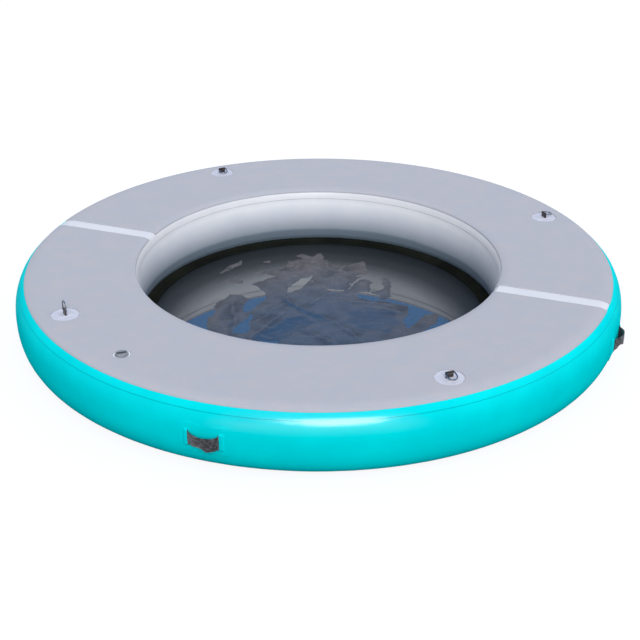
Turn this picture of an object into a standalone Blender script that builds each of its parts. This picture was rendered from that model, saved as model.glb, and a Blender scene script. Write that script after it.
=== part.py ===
"""Round inflatable water hammock: a drop-stitch ring with a mesh floor slung across its hole.

Metres, +Z up. The origin is under the middle of the ring, on the plane that its flat
underside rests on. +X runs to the right, parallel to the pale gap between the deck pads.
"""

import math

import bmesh
import bpy
from mathutils import Matrix, Vector

# Air chamber
OUTER_RADIUS = 1.015          # centre to the widest point of the outer wall
HOLE_RADIUS = 0.601           # centre to the narrowest point of the inner wall
CHAMBER_HEIGHT = 0.208        # outside of the bottom skin to outside of the top skin
OUTER_BULGE = 0.071           # the outer wall swells this far past the flat of the deck
INNER_BULGE = 0.030           # the inner wall swells this far into the hole
BULGE_POWER = 2.4             # 2 gives an ellipse, more gives a squarer wall
RING_FACETS = 44
SKIN = 0.0012                 # laminated PVC fabric of skins and walls
GAP = 0.0003                  # glue line between neighbouring pieces

# Seam tapes, each centred on the joint of a skin and a wall
TAPE = 0.0010
TAPE_WIDTH = 0.023

# Drop-stitch core: two woven cloths under the skins, held parallel by the yarns between
CORE_CLOTH = 0.0008
YARN_RADIUS = 0.0015
YARN_ROWS = 3
YARNS_PER_ROW = 20
YARN_STAGGER = 0.3            # of their spacing, from each row to the next
CORE_SETBACK = 0.010          # the cloths stop short of the flat's two ends
CORE_FACETS = 32
YARN_EDGE_CLEARANCE = 0.035   # from the cloths' edges to the nearest rows

# Deck pads of EVA foam
PAD = 0.003
OUTER_PAD_SETBACK = 0.035     # widest point of the wall to the pad's outer edge
INNER_PAD_SETBACK = 0.015     # narrowest point of the hole to the pad's inner edge
PAD_TAPE_CLEARANCE = 0.001
PAD_STRIP_WIDTH = 0.052       # pale gap between the two pads
PAD_STRIP_SHIFT = 0.029       # the gap's middle lies this far in front of the ring's
PAD_CUTOUT_CLEARANCE = 0.0015  # round a ring patch
VALVE_CUTOUT_RADIUS = 0.026

# Towing rings on the deck
RING_AZIMUTHS = [math.radians(a) for a in (42.8, 135.6, 228.4, 314.5)]
RING_LEANS = [math.radians(a) for a in (100, -105, 0, 107)]   # from upright, outwards
RING_SETBACK = 0.125          # widest point of the wall to the middle of a ring's patch
RING_PATCH_RADIUS = 0.043
RING_PATCH = 0.0036
RING_WIRE_RADIUS = 0.002
RING_WIDTH = 0.030            # between the centre lines of the two legs
RING_HEIGHT = 0.030           # bar's centre line to the top of the bow
RING_CORNER = 0.003
BAR_HEIGHT = 0.018            # bar's centre line above the patch's underside
TAB_WEBBING = 0.0015
TAB_WIDTH = 0.025
TAB_CLEARANCE = 0.0005        # bar to webbing
TAB_FLAP = 0.021              # half length of the part sewn under the patch
TAB_SLIT = 0.008              # width of the slit that the tab comes through

# Carry handles on the outer wall
HANDLE_AZIMUTHS = [math.radians(a) for a in (357.4, 90, 180, 272)]
STRAP_WIDTH = 0.044
STRAP = 0.0025
STRAP_SPAN = 0.088            # between the two places where the strap meets the wall
STRAP_BOW = 0.034             # how far the strap stands off the wall
STRAP_FLAP = 0.018            # end of the strap, held under the cover patch
HANDLE_PATCH_WIDTH = 0.062
HANDLE_PATCH_HEIGHT = 0.091
HANDLE_PATCH = 0.0009

# Inflation valve
VALVE_SETBACK = 0.131         # widest point of the wall to the valve's middle
VALVE_AZIMUTH = math.radians(249.7)
VALVE_FACETS = 20
FLANGE_RADIUS = 0.0205
FLANGE = 0.002
GASKET = 0.001
VALVE_TUBE_RADIUS = 0.015
VALVE_BORE_RADIUS = 0.012
VALVE_DEPTH = 0.032           # tube below the flange
SEAT_RADIUS = 0.009
SEAT = 0.002
WEB_DEPTH = 0.016             # pin guide below the flange's underside
WEB = 0.0025
AIR_WINDOW_RADIUS = 0.0028
AIR_WINDOWS = 4
PIN_RADIUS = 0.0025
PIN_CLEARANCE = 0.0003
BUTTON_RADIUS = 0.0055
BUTTON = 0.002
BUTTON_DEPTH = 0.0035         # button's top below the flange's underside
POPPET_RADIUS = 0.0115
POPPET = 0.003
PIN_SOCKET = 0.0018
SPRING_WIRE_RADIUS = 0.0004
SPRING_RADIUS = 0.0042
SPRING_TURNS = 4
NUT_RADIUS = 0.024
NUT = 0.008
NUT_CLEARANCE = 0.0005
CAP_RADIUS = 0.0185
CAP = 0.002
CAP_PLUG = 0.005
CAP_PLUG_WALL = 0.0025
CAP_PLUG_CLEARANCE = 0.0006
CAP_SEAL_DEPTH = 0.0008
CAP_SEAL_HEIGHT = 0.0016
CAP_SEAL_SETBACK = 0.0012
GRIP_LENGTH = 0.030
GRIP_WIDTH = 0.0045
GRIP = 0.003
CAP_TURN = math.radians(35)

# Mesh floor and the skirt that ties it to the ring
SKIRT = 0.0010
SKIRT_RISE = 0.005            # how far the skirt climbs above the seam
SKIRT_FLANGE = 0.030          # sewn to the mesh
SKIRT_FLANGE_HEIGHT = 0.0080
SKIRT_SLACK = 0.003           # the skirt hangs this far out of line between wall and flange
MESH = 0.0012
MESH_RINGS = 9
MESH_HEIGHT = 0.012           # middle of the mesh above the underside
MESH_FOLD = 0.0055            # half height of the main folds
MESH_FOLD_LENGTH = 0.34       # crest to crest
MESH_SETTLE = 0.09            # distance over which the folds die out at the hem

COLOURS = {
    "grey_foam": ((0.47, 0.48, 0.57), 0.85, 0.0),
    "white_pvc": ((0.80, 0.83, 0.90), 0.45, 0.0),
    "teal_pvc": ((0.0, 0.62, 0.66), 0.35, 0.0),
    "dark_mesh": ((0.05, 0.055, 0.06), 0.5, 0.0),
    "black_webbing": ((0.02, 0.02, 0.022), 0.8, 0.0),
    "polyester_yarn": ((0.85, 0.85, 0.82), 0.7, 0.0),
    "stainless_steel": ((0.62, 0.62, 0.60), 0.22, 1.0),
    "spring_steel": ((0.45, 0.45, 0.46), 0.3, 1.0),
    "dark_plastic": ((0.12, 0.125, 0.13), 0.4, 0.0),
    "black_rubber": ((0.02, 0.02, 0.02), 0.7, 0.0),
}

MID_HEIGHT = CHAMBER_HEIGHT / 2
FLAT_RADIUS = {"outer": OUTER_RADIUS - OUTER_BULGE, "inner": HOLE_RADIUS + INNER_BULGE}
BULGE = {"outer": OUTER_BULGE, "inner": -INNER_BULGE}
DECK = CHAMBER_HEIGHT + GAP   # where pieces on the deck start
RING_CIRCLE_RADIUS = OUTER_RADIUS - RING_SETBACK
VALVE_CIRCLE_RADIUS = OUTER_RADIUS - VALVE_SETBACK
WALK_STEP = math.radians(0.25)
SHARP_ANGLE = math.radians(35)


def clear_scene():
    for thing in list(bpy.data.objects):
        bpy.data.objects.remove(thing)


def material(name, finish):
    colour, roughness, metallic = COLOURS[finish]
    made = bpy.data.materials.new(name)
    made.use_nodes = True
    shader = made.node_tree.nodes["Principled BSDF"]
    shader.inputs["Base Color"].default_value = (*colour, 1)
    shader.inputs["Roughness"].default_value = roughness
    shader.inputs["Metallic"].default_value = metallic
    made.diffuse_color = (*colour, 1)
    return made


def place(name, data, finish, at=(0, 0, 0), turn=None):
    """Put a mesh or curve in the scene as a named piece with its own material."""
    piece = bpy.data.objects.new(name, data)
    bpy.context.scene.collection.objects.link(piece)
    piece.matrix_world = Matrix.Translation(at) @ (turn or Matrix.Identity(4))
    data.materials.append(material(name, finish))
    return piece


def mesh_from(bm, name):
    """Close off a bmesh as mesh data with its faces pointing out."""
    bmesh.ops.recalc_face_normals(bm, faces=bm.faces)
    data = bpy.data.meshes.new(name)
    bm.to_mesh(data)
    bm.free()
    data.shade_smooth()
    data.set_sharp_from_angle(angle=SHARP_ANGLE)
    return data


def cut(piece, cutter, operation="DIFFERENCE"):
    """Add a Boolean that uses a hidden wire cutter."""
    cutter.hide_render = True
    cutter.display_type = "WIRE"
    boolean = piece.modifiers.new(cutter.name, "BOOLEAN")
    boolean.object = cutter
    boolean.operation = operation
    boolean.solver = "EXACT"


def round_cutter(name, centre, radius, low, high, facets=32):
    bm = bmesh.new()
    bmesh.ops.create_cone(bm, cap_ends=True, segments=facets, radius1=radius, radius2=radius,
                          depth=high - low)
    return place(name, mesh_from(bm, name), "white_pvc", (*centre, (low + high) / 2))


def box_cutter(name, size, at, turn=None):
    bm = bmesh.new()
    bmesh.ops.create_cube(bm, size=1, matrix=Matrix.Diagonal((*size, 1)))
    return place(name, mesh_from(bm, name), "white_pvc", at, turn)


def polar(radius, azimuth):
    return radius * math.cos(azimuth), radius * math.sin(azimuth)


# The chamber's section. An angle of 90 degrees is the end of the flat deck, 0 is the
# widest point of the wall, and -90 is the end of the flat underside.

def section(side, angle, lift=0.0):
    """A point (radius, height) on the fabric's outside, lifted square to it."""
    across = abs(math.cos(angle)) ** (2 / BULGE_POWER)
    rise = math.copysign(abs(math.sin(angle)) ** (2 / BULGE_POWER), angle)
    slope = Vector((across ** (BULGE_POWER - 1) / BULGE[side],
                    math.copysign(abs(rise) ** (BULGE_POWER - 1), rise) / MID_HEIGHT))
    slope.normalize()
    return (FLAT_RADIUS[side] + BULGE[side] * across + lift * slope.x,
            MID_HEIGHT * (1 + rise) + lift * slope.y)


def angle_at_radius(side, radius):
    share = (radius - FLAT_RADIUS[side]) / BULGE[side]
    return math.acos(share ** (BULGE_POWER / 2))


def angle_at_height(height):
    share = (height - MID_HEIGHT) / MID_HEIGHT
    return math.copysign(math.asin(abs(share) ** (BULGE_POWER / 2)), share)


def angle_after(side, start, distance):
    """The angle reached by walking down the fabric from a starting angle."""
    angle = start
    here = Vector(section(side, angle))
    while distance > 0:
        angle -= WALK_STEP
        there = Vector(section(side, angle))
        distance -= (there - here).length
        here = there
    return angle


PAD_EDGE = {
    "outer": angle_at_radius("outer", OUTER_RADIUS - OUTER_PAD_SETBACK),
    "inner": angle_at_radius("inner", HOLE_RADIUS + INNER_PAD_SETBACK),
}
TAPE_START = {side: angle_after(side, PAD_EDGE[side], PAD_TAPE_CLEARANCE) for side in BULGE}
SEAM = {side: angle_after(side, TAPE_START[side], TAPE_WIDTH / 2) for side in BULGE}
TAPE_END = {side: angle_after(side, SEAM[side], TAPE_WIDTH / 2) for side in BULGE}
PATCH_EDGE = angle_at_height(MID_HEIGHT + HANDLE_PATCH_HEIGHT / 2)


def band(side, angles, near, far):
    """Closed outline of a layer that follows the section from lift near to lift far."""
    under = [section(side, a, near) for a in angles]
    over = [section(side, a, far) for a in angles]
    return over + under[::-1]


def deck_layer(edges, near, far, padded=True):
    """Closed outline of a layer over the deck, from its inner edge to its outer edge."""
    angles = {side: shoulder_angles(side, edges[side], padded) for side in BULGE}
    over = [section("inner", a, far) for a in reversed(angles["inner"])]
    over += [section("outer", a, far) for a in angles["outer"]]
    under = [section("inner", a, near) for a in reversed(angles["inner"])]
    under += [section("outer", a, near) for a in angles["outer"]]
    return over + under[::-1]


def shoulder_angles(side, edge, padded):
    """Angles from the flat to an edge on the shoulder, the same for every layer there."""
    top = math.pi / 2
    bend = (top + PAD_EDGE[side]) / 2
    angles = [top, bend, PAD_EDGE[side]] if padded else [top, (bend + PAD_EDGE[side]) / 2]
    return angles if edge >= PAD_EDGE[side] else angles + [edge]


def box_outline(inner, outer, low, high):
    return [(inner, low), (outer, low), (outer, high), (inner, high)]


def flipped(outline):
    """The same outline on the underside of the ring."""
    return [(radius, CHAMBER_HEIGHT - height) for radius, height in outline]


def spun(outline, facets=RING_FACETS, on_axis=False):
    """Turn an outline (radius, height) about Z into a closed solid."""
    bm = bmesh.new()
    points = [bm.verts.new((radius, 0, height)) for radius, height in outline]
    pairs = list(zip(points, points[1:]))
    if not on_axis:
        pairs.append((points[-1], points[0]))
    edges = [bm.edges.new(pair) for pair in pairs]
    bmesh.ops.spin(bm, geom=points + edges, cent=(0, 0, 0), axis=(0, 0, 1),
                   angle=2 * math.pi, steps=facets, use_merge=True)
    bmesh.ops.remove_doubles(bm, verts=bm.verts, dist=0.000001)
    return bm


def ring_piece(name, outline, finish, facets=RING_FACETS):
    return place(name, mesh_from(spun(outline, facets), name), finish)


def slab(front, back):
    """Closed solid between two grids of points, each a list of rows."""
    bm = bmesh.new()
    faces = [[[bm.verts.new(point) for point in row] for row in grid] for grid in (front, back)]
    rows, columns = len(front), len(front[0])
    for grid in faces:
        for i in range(rows - 1):
            for j in range(columns - 1):
                bm.faces.new((grid[i][j], grid[i][j + 1], grid[i + 1][j + 1], grid[i + 1][j]))
    near, far = faces
    for i in range(rows - 1):
        for j in (0, columns - 1):
            bm.faces.new((near[i][j], near[i + 1][j], far[i + 1][j], far[i][j]))
    for j in range(columns - 1):
        for i in (0, rows - 1):
            bm.faces.new((near[i][j], near[i][j + 1], far[i][j + 1], far[i][j]))
    return bm


def ribbon(path, thickness):
    """The two sides of a strip of a given thickness along a flat path."""
    sides = ([], [])
    for i, point in enumerate(path):
        before = (point - path[i - 1]).normalized() if i else None
        after = (path[i + 1] - point).normalized() if i < len(path) - 1 else None
        along = ((before or after) + (after or before)).normalized()
        square = Vector((-along.y, along.x))
        reach = thickness / 2 / along.dot(after or before)
        sides[0].append(point + square * reach)
        sides[1].append(point - square * reach)
    return sides


# Chamber, seams and drop-stitch core

def make_chamber():
    seam_to_seam = deck_layer(SEAM, -SKIN, 0)
    top = ring_piece("top_skin", seam_to_seam, "white_pvc")
    cut(top, round_cutter("valve_hole_in_skin", polar(VALVE_CIRCLE_RADIUS, VALVE_AZIMUTH),
                          VALVE_TUBE_RADIUS + NUT_CLEARANCE, CHAMBER_HEIGHT - 3 * SKIN,
                          CHAMBER_HEIGHT + SKIN, VALVE_FACETS))
    ring_piece("bottom_skin", flipped(deck_layer(SEAM, -SKIN, 0, padded=False)), "white_pvc")
    for side, finish in (("outer", "teal_pvc"), ("inner", "white_pvc")):
        middle = PATCH_EDGE if side == "outer" else TAPE_END[side] / 2
        seam = angle_after(side, SEAM[side], GAP)
        upper = [seam, TAPE_END[side], middle]
        angles = upper + [0] + [-a for a in reversed(upper)]
        ring_piece(f"{side}_wall", band(side, angles, -SKIN, 0), finish)


def make_seam_tapes():
    for side, finish in (("outer", "teal_pvc"), ("inner", "white_pvc")):
        angles = [TAPE_START[side], SEAM[side], TAPE_END[side]]
        tape = band(side, angles, GAP, GAP + TAPE)
        ring_piece(f"{side}_top_seam_tape", tape, finish)
        ring_piece(f"{side}_bottom_seam_tape", flipped(tape), finish)


def make_drop_stitch_core():
    """Two ring-shaped cloths with staggered rows of yarns between, clear of the valve."""
    inside = SKIN + GAP
    inner = FLAT_RADIUS["inner"] + CORE_SETBACK
    outer = FLAT_RADIUS["outer"] - CORE_SETBACK
    low = box_outline(inner, outer, inside, inside + CORE_CLOTH)
    core = ring_piece("drop_stitch_core", low, "polyester_yarn", CORE_FACETS)
    lid = ring_piece("upper_core_cloth", flipped(low), "polyester_yarn", CORE_FACETS)
    cut(core, lid, "UNION")
    valve = Vector(polar(VALVE_CIRCLE_RADIUS, VALVE_AZIMUTH))
    first, last = inner + YARN_EDGE_CLEARANCE, outer - YARN_EDGE_CLEARANCE
    yarns = bmesh.new()
    for row in range(YARN_ROWS):
        radius = first + (last - first) * row / (YARN_ROWS - 1)
        for i in range(YARNS_PER_ROW):
            turn = (i + (row + 1) * YARN_STAGGER) / YARNS_PER_ROW
            spot = Vector(polar(radius, turn * 2 * math.pi))
            if (spot - valve).length < NUT_RADIUS + 4 * YARN_RADIUS:
                continue
            bmesh.ops.create_cone(yarns, cap_ends=True, segments=3, radius1=YARN_RADIUS,
                                  radius2=YARN_RADIUS,
                                  depth=CHAMBER_HEIGHT - 2 * inside - CORE_CLOTH,
                                  matrix=Matrix.Translation((*spot, MID_HEIGHT)))
    cut(core, place("yarns", mesh_from(yarns, "yarns"), "polyester_yarn"), "UNION")
    cut(core, round_cutter("valve_hole_in_core", valve, NUT_RADIUS + NUT_CLEARANCE,
                           CHAMBER_HEIGHT / 2, CHAMBER_HEIGHT + SKIN, VALVE_FACETS))


# Deck

def make_deck_pads():
    for name, way in (("deck_pad_rear", 1), ("deck_pad_front", -1)):
        bm = spun(deck_layer(PAD_EDGE, GAP, GAP + PAD))
        end = way * PAD_STRIP_WIDTH / 2 - PAD_STRIP_SHIFT
        half = bmesh.ops.bisect_plane(bm, geom=bm.verts[:] + bm.edges[:] + bm.faces[:],
                                      plane_co=(0, end, 0),
                                      plane_no=(0, way, 0), clear_inner=True)
        rim = [e for e in half["geom_cut"] if isinstance(e, bmesh.types.BMEdge)]
        bmesh.ops.holes_fill(bm, edges=rim, sides=0)
        pad = place(name, mesh_from(bm, name), "grey_foam")
        low, high = CHAMBER_HEIGHT - PAD, CHAMBER_HEIGHT + 3 * PAD
        for i, azimuth in enumerate(RING_AZIMUTHS):
            spot = polar(RING_CIRCLE_RADIUS, azimuth)
            if spot[1] * way > 0:
                cut(pad, round_cutter(f"ring_patch_cutout_{i + 1}", spot,
                                      RING_PATCH_RADIUS + PAD_CUTOUT_CLEARANCE, low, high))
        spot = polar(VALVE_CIRCLE_RADIUS, VALVE_AZIMUTH)
        if spot[1] * way > 0:
            cut(pad, round_cutter("valve_cutout", spot, VALVE_CUTOUT_RADIUS, low, high))


# Towing rings. Each is modelled with its bar along X, its foot at the origin and
# leaning about X, then turned so that +Y points at the centre of the hammock.

def ring_frame(index):
    azimuth = RING_AZIMUTHS[index]
    return (*polar(RING_CIRCLE_RADIUS, azimuth), DECK), Matrix.Rotation(azimuth + math.pi / 2, 4, "Z")


def d_shape():
    """Centre line of a ring: a straight bar, round corners, two legs and a round bow."""
    half = RING_WIDTH / 2
    corner = [(half - RING_CORNER + RING_CORNER * math.sin(a), RING_CORNER * (1 - math.cos(a)))
              for a in (0, math.pi / 4, math.pi / 2)]
    shoulder = RING_HEIGHT - half
    bow = [(half * math.cos(a), shoulder + half * math.sin(a))
           for a in [math.pi * i / 8 for i in range(9)]]
    return corner + bow + [(-x, z) for x, z in reversed(corner)]


def make_ring(index):
    at, turn = ring_frame(index)
    line = bpy.data.curves.new(f"d_ring_{index + 1}", "CURVE")
    line.dimensions = "3D"
    line.bevel_depth = RING_WIRE_RADIUS
    line.bevel_resolution = 2
    points = d_shape()
    spline = line.splines.new("POLY")
    spline.points.add(len(points) - 1)
    for point, (x, z) in zip(spline.points, points):
        point.co = (x, 0, z, 1)
    spline.use_cyclic_u = True
    bar = Vector(at) + Vector((0, 0, BAR_HEIGHT))
    lean = Matrix.Rotation(RING_LEANS[index], 4, "X")
    place(line.name, line, "stainless_steel", bar, turn @ lean)


def tab_path():
    """Strip of webbing: out from under the patch, round the bar and back again."""
    rest = TAB_WEBBING / 2
    leg = TAB_WEBBING / 2 + GAP
    loop = RING_WIRE_RADIUS + TAB_CLEARANCE + TAB_WEBBING / 2
    half = [(TAB_FLAP, rest), (2.2 * TAB_WEBBING, rest), (1.2 * TAB_WEBBING, 1.4 * TAB_WEBBING),
            (leg, 2.6 * TAB_WEBBING), (1.3 * leg, BAR_HEIGHT - 1.35 * loop)]
    turns = [math.radians(-50 + 35 * i) for i in range(9)]
    round_bar = [(loop * math.cos(a), BAR_HEIGHT + loop * math.sin(a)) for a in turns]
    return [Vector(p) for p in half + round_bar + [(-x, z) for x, z in reversed(half)]]


def make_ring_tab(index):
    at, turn = ring_frame(index)
    sides = ribbon(tab_path(), TAB_WEBBING)
    front, back = [[[(x, p.x, p.y) for p in side] for x in (-TAB_WIDTH / 2, TAB_WIDTH / 2)]
                   for side in sides]
    name = f"d_ring_webbing_{index + 1}"
    place(name, mesh_from(slab(front, back), name), "black_webbing", at, turn)


def make_ring_patch(index):
    """Round welded patch with a pocket under it for the tab and a slit for its loop."""
    at, turn = ring_frame(index)
    name = f"d_ring_patch_{index + 1}"
    bm = bmesh.new()
    bmesh.ops.create_cone(bm, cap_ends=True, segments=32, radius1=RING_PATCH_RADIUS,
                          radius2=RING_PATCH_RADIUS - RING_PATCH / 4, depth=RING_PATCH,
                          matrix=Matrix.Translation((0, 0, RING_PATCH / 2)))
    patch = place(name, mesh_from(bm, name), "white_pvc", at, turn)
    pocket = TAB_WEBBING + GAP
    wide = TAB_WIDTH + 4 * GAP
    base = Vector(at)
    cut(patch, box_cutter(f"tab_pocket_{index + 1}", (wide, 2 * (TAB_FLAP + 2 * GAP), 2 * pocket),
                          base, turn))
    cut(patch, box_cutter(f"tab_slit_{index + 1}", (wide, TAB_SLIT, 4 * RING_PATCH), base, turn))


# Carry handles. A place on the outer wall is a distance round it from the handle's
# middle, a lift off it, and an angle of the section.

def wall_point(middle, along, lift, angle):
    """A point over the faceted outer wall."""
    radius, height = section("outer", angle)
    azimuth = middle + along / OUTER_RADIUS
    half = math.pi / RING_FACETS
    off = azimuth % (2 * half) - half
    reach = radius * math.cos(half) / math.cos(off) + lift
    return reach * math.cos(azimuth), reach * math.sin(azimuth), height


def facet_edges(middle, start, end):
    """Distances along the wall, from start to end, with the wall's own edges between."""
    facet = 2 * math.pi / RING_FACETS
    first = math.ceil((middle + start / OUTER_RADIUS) / facet + 0.001)
    edges = []
    while first * facet < middle + end / OUTER_RADIUS - 0.001 * facet:
        edges.append((first * facet - middle) * OUTER_RADIUS)
        first += 1
    return [start] + edges + [end]


BASE_LIFT = GAP
STRAP_LIFT = BASE_LIFT + HANDLE_PATCH + GAP
COVER_LIFT = STRAP_LIFT
POCKET_LIFT = STRAP_LIFT + STRAP + GAP


def strap_path(middle):
    """Flap, bow and flap of a strap, as (distance round the wall, lift)."""
    centre = STRAP_LIFT + STRAP / 2
    half = STRAP_SPAN / 2
    right = [(s, centre) for s in facet_edges(middle, -half - STRAP_FLAP, -half)]
    left = [(s, centre) for s in facet_edges(middle, half, half + STRAP_FLAP)]
    turns = [math.radians(a) for a in (170, 155, 135, 112, 90, 68, 45, 25, 10)]
    bow = [(half * math.cos(a), centre + STRAP_BOW * math.sin(a)) for a in turns]
    return [Vector(p) for p in right + bow + left]


def make_handle_strap(index, middle):
    edge = angle_at_height(MID_HEIGHT + STRAP_WIDTH / 2)
    sides = ribbon(strap_path(middle), STRAP)
    front, back = [[[wall_point(middle, p.x, p.y, a) for p in side] for a in (-edge, 0, edge)]
                   for side in sides]
    name = f"handle_webbing_{index + 1}"
    place(name, mesh_from(slab(front, back), name), "black_webbing")


def make_handle_base(name, middle, way):
    """Flat patch welded to the wall under one end of the strap."""
    centre = way * STRAP_SPAN / 2
    columns = facet_edges(middle, centre - HANDLE_PATCH_WIDTH / 2, centre + HANDLE_PATCH_WIDTH / 2)
    front, back = [[[wall_point(middle, s, lift, a) for s in columns]
                    for a in (-PATCH_EDGE, 0, PATCH_EDGE)]
                   for lift in (BASE_LIFT, BASE_LIFT + HANDLE_PATCH)]
    place(name, mesh_from(slab(front, back), name), "teal_pvc")


def make_handle_cover(name, middle, way):
    """Cover patch with a raised pocket that holds the end of the strap."""
    flap_edge = STRAP_WIDTH / 2 + 2 * GAP
    ramp_edge = flap_edge + STRAP
    rows = [(-HANDLE_PATCH_HEIGHT / 2, 0), (-ramp_edge, 0), (-flap_edge, 1), (0, 1),
            (flap_edge, 1), (ramp_edge, 0), (HANDLE_PATCH_HEIGHT / 2, 0)]
    flap_end = STRAP_SPAN / 2 + STRAP_FLAP + 2 * GAP
    columns = [(STRAP_SPAN / 2 + STRAP, 1), (flap_end, 1), (flap_end + STRAP, 0),
               (STRAP_SPAN / 2 + HANDLE_PATCH_WIDTH / 2, 0)]
    rise = POCKET_LIFT - COVER_LIFT
    front, back = [[[wall_point(middle, way * s, COVER_LIFT + rise * across * up + extra,
                                angle_at_height(MID_HEIGHT + height))
                     for s, across in columns] for height, up in rows]
                   for extra in (0, HANDLE_PATCH)]
    place(name, mesh_from(slab(front, back), name), "teal_pvc")


# Inflation valve. Heights are from the underside of the flange, which stands on the gasket.

VALVE_SPOT = (*polar(VALVE_CIRCLE_RADIUS, VALVE_AZIMUTH), DECK + GASKET + GAP)


def turned(name, outline, finish, on_axis=False):
    bm = spun(outline, VALVE_FACETS, on_axis)
    return place(name, mesh_from(bm, name), finish, VALVE_SPOT)


def make_valve_body():
    """Flange, tube, pin guide and the seat that the poppet closes against."""
    guide = PIN_RADIUS + PIN_CLEARANCE
    body = turned("valve_body", [
        (VALVE_BORE_RADIUS, FLANGE), (FLANGE_RADIUS - FLANGE / 2, FLANGE),
        (FLANGE_RADIUS, FLANGE / 2), (FLANGE_RADIUS, 0), (VALVE_TUBE_RADIUS, 0),
        (VALVE_TUBE_RADIUS, -VALVE_DEPTH), (SEAT_RADIUS, -VALVE_DEPTH),
        (SEAT_RADIUS, -VALVE_DEPTH + SEAT), (VALVE_BORE_RADIUS, -VALVE_DEPTH + 2 * SEAT),
        (VALVE_BORE_RADIUS, -WEB_DEPTH - WEB), (guide, -WEB_DEPTH - WEB), (guide, -WEB_DEPTH),
        (VALVE_BORE_RADIUS, -WEB_DEPTH)], "dark_plastic")
    middle = (guide + VALVE_BORE_RADIUS) / 2
    for i in range(AIR_WINDOWS):
        x, y = polar(middle, (i + 0.5) * 2 * math.pi / AIR_WINDOWS)
        spot = (VALVE_SPOT[0] + x, VALVE_SPOT[1] + y)
        web = VALVE_SPOT[2] - WEB_DEPTH
        cut(body, round_cutter(f"air_window_{i + 1}", spot, AIR_WINDOW_RADIUS,
                               web - 2 * WEB, web + WEB, 12))


def make_valve_seals():
    tube = VALVE_TUBE_RADIUS + NUT_CLEARANCE
    turned("valve_gasket", box_outline(tube, FLANGE_RADIUS - FLANGE / 2, -GAP - GASKET, -GAP),
           "black_rubber")
    top = CHAMBER_HEIGHT - SKIN - GAP - VALVE_SPOT[2]
    chamfer = NUT / 5
    turned("valve_nut", [
        (tube, top), (NUT_RADIUS, top), (NUT_RADIUS, top - NUT + chamfer),
        (NUT_RADIUS - chamfer, top - NUT), (tube, top - NUT)], "dark_plastic")


def make_valve_pin():
    """Push pin with its button, the poppet on its lower end and the return spring."""
    top = -BUTTON_DEPTH
    foot = -VALVE_DEPTH - PIN_SOCKET
    turned("valve_pin", [
        (0, top), (BUTTON_RADIUS - BUTTON / 4, top), (BUTTON_RADIUS, top - BUTTON / 4),
        (BUTTON_RADIUS, top - BUTTON), (PIN_RADIUS, top - BUTTON), (PIN_RADIUS, foot), (0, foot)],
        "dark_plastic", on_axis=True)
    high = -VALVE_DEPTH - GAP
    socket = PIN_RADIUS + PIN_CLEARANCE
    turned("valve_poppet", [
        (0, high - PIN_SOCKET), (socket, high - PIN_SOCKET), (socket, high), (POPPET_RADIUS, high),
        (POPPET_RADIUS, high - POPPET / 2), (POPPET_RADIUS / 2, high - POPPET),
        (0, high - POPPET)], "black_rubber", on_axis=True)
    low = -WEB_DEPTH + GAP + SPRING_WIRE_RADIUS
    length = top - BUTTON - GAP - SPRING_WIRE_RADIUS - low
    line = bpy.data.curves.new("valve_spring", "CURVE")
    line.dimensions = "3D"
    line.bevel_depth = SPRING_WIRE_RADIUS
    line.bevel_resolution = 1
    line.use_fill_caps = True
    spline = line.splines.new("POLY")
    steps = 8 * SPRING_TURNS
    spline.points.add(steps)
    for i, point in enumerate(spline.points):
        share = i / steps
        x, y = polar(SPRING_RADIUS, share * SPRING_TURNS * 2 * math.pi)
        point.co = (x, y, low + share * length, 1)
    place("valve_spring", line, "spring_steel", VALVE_SPOT)


def make_valve_cap():
    """Cap with a plug that fills the mouth, a seal in its groove and a finger grip."""
    seat = FLANGE + GAP
    plug = VALVE_BORE_RADIUS - CAP_PLUG_CLEARANCE
    groove_top = seat - CAP_SEAL_SETBACK
    groove_foot = groove_top - CAP_SEAL_HEIGHT
    groove = plug - CAP_SEAL_DEPTH
    cap = turned("valve_cap", [
        (0, seat + CAP), (CAP_RADIUS - CAP / 2, seat + CAP), (CAP_RADIUS, seat + CAP / 2),
        (CAP_RADIUS, seat), (plug, seat), (plug, groove_top), (groove, groove_top),
        (groove, groove_foot), (plug, groove_foot), (plug, seat - CAP_PLUG),
        (plug - CAP_PLUG_WALL, seat - CAP_PLUG), (plug - CAP_PLUG_WALL, seat), (0, seat)],
        "dark_plastic", on_axis=True)
    x, y, z = VALVE_SPOT
    tall = GRIP + CAP / 2
    cut(cap, box_cutter("cap_grip", (GRIP_LENGTH, GRIP_WIDTH, tall),
                        (x, y, z + seat + (CAP + tall) / 2),
                        Matrix.Rotation(CAP_TURN, 4, "Z")), "UNION")
    clear = GAP / 2
    turned("cap_seal", box_outline(groove + clear, VALVE_BORE_RADIUS - GAP, groove_foot + clear,
                                   groove_top - clear), "black_rubber")


# Floor

def make_skirt():
    """Band glued over the lower inner seam, with a flange that carries the mesh."""
    side = "inner"
    near = 2 * GAP + TAPE
    climb = angle_after(side, SEAM[side], SKIRT_RISE)
    foot = (SEAM[side] + TAPE_START[side]) / 2
    angles = [-climb, -SEAM[side], -foot]
    path = [Vector(section(side, a, near + SKIRT / 2)) for a in angles]
    bend = Vector((HOLE_RADIUS, SKIRT_FLANGE_HEIGHT))
    slack = (path[-1] + bend) / 2 - Vector((SKIRT_SLACK, 0))
    path += [slack, bend, bend - Vector((SKIRT_FLANGE, 0))]
    over, under = ribbon(path, SKIRT)
    outline = [tuple(p) for p in over + under[::-1]]
    ring_piece("mesh_skirt", outline, "dark_mesh")


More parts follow.
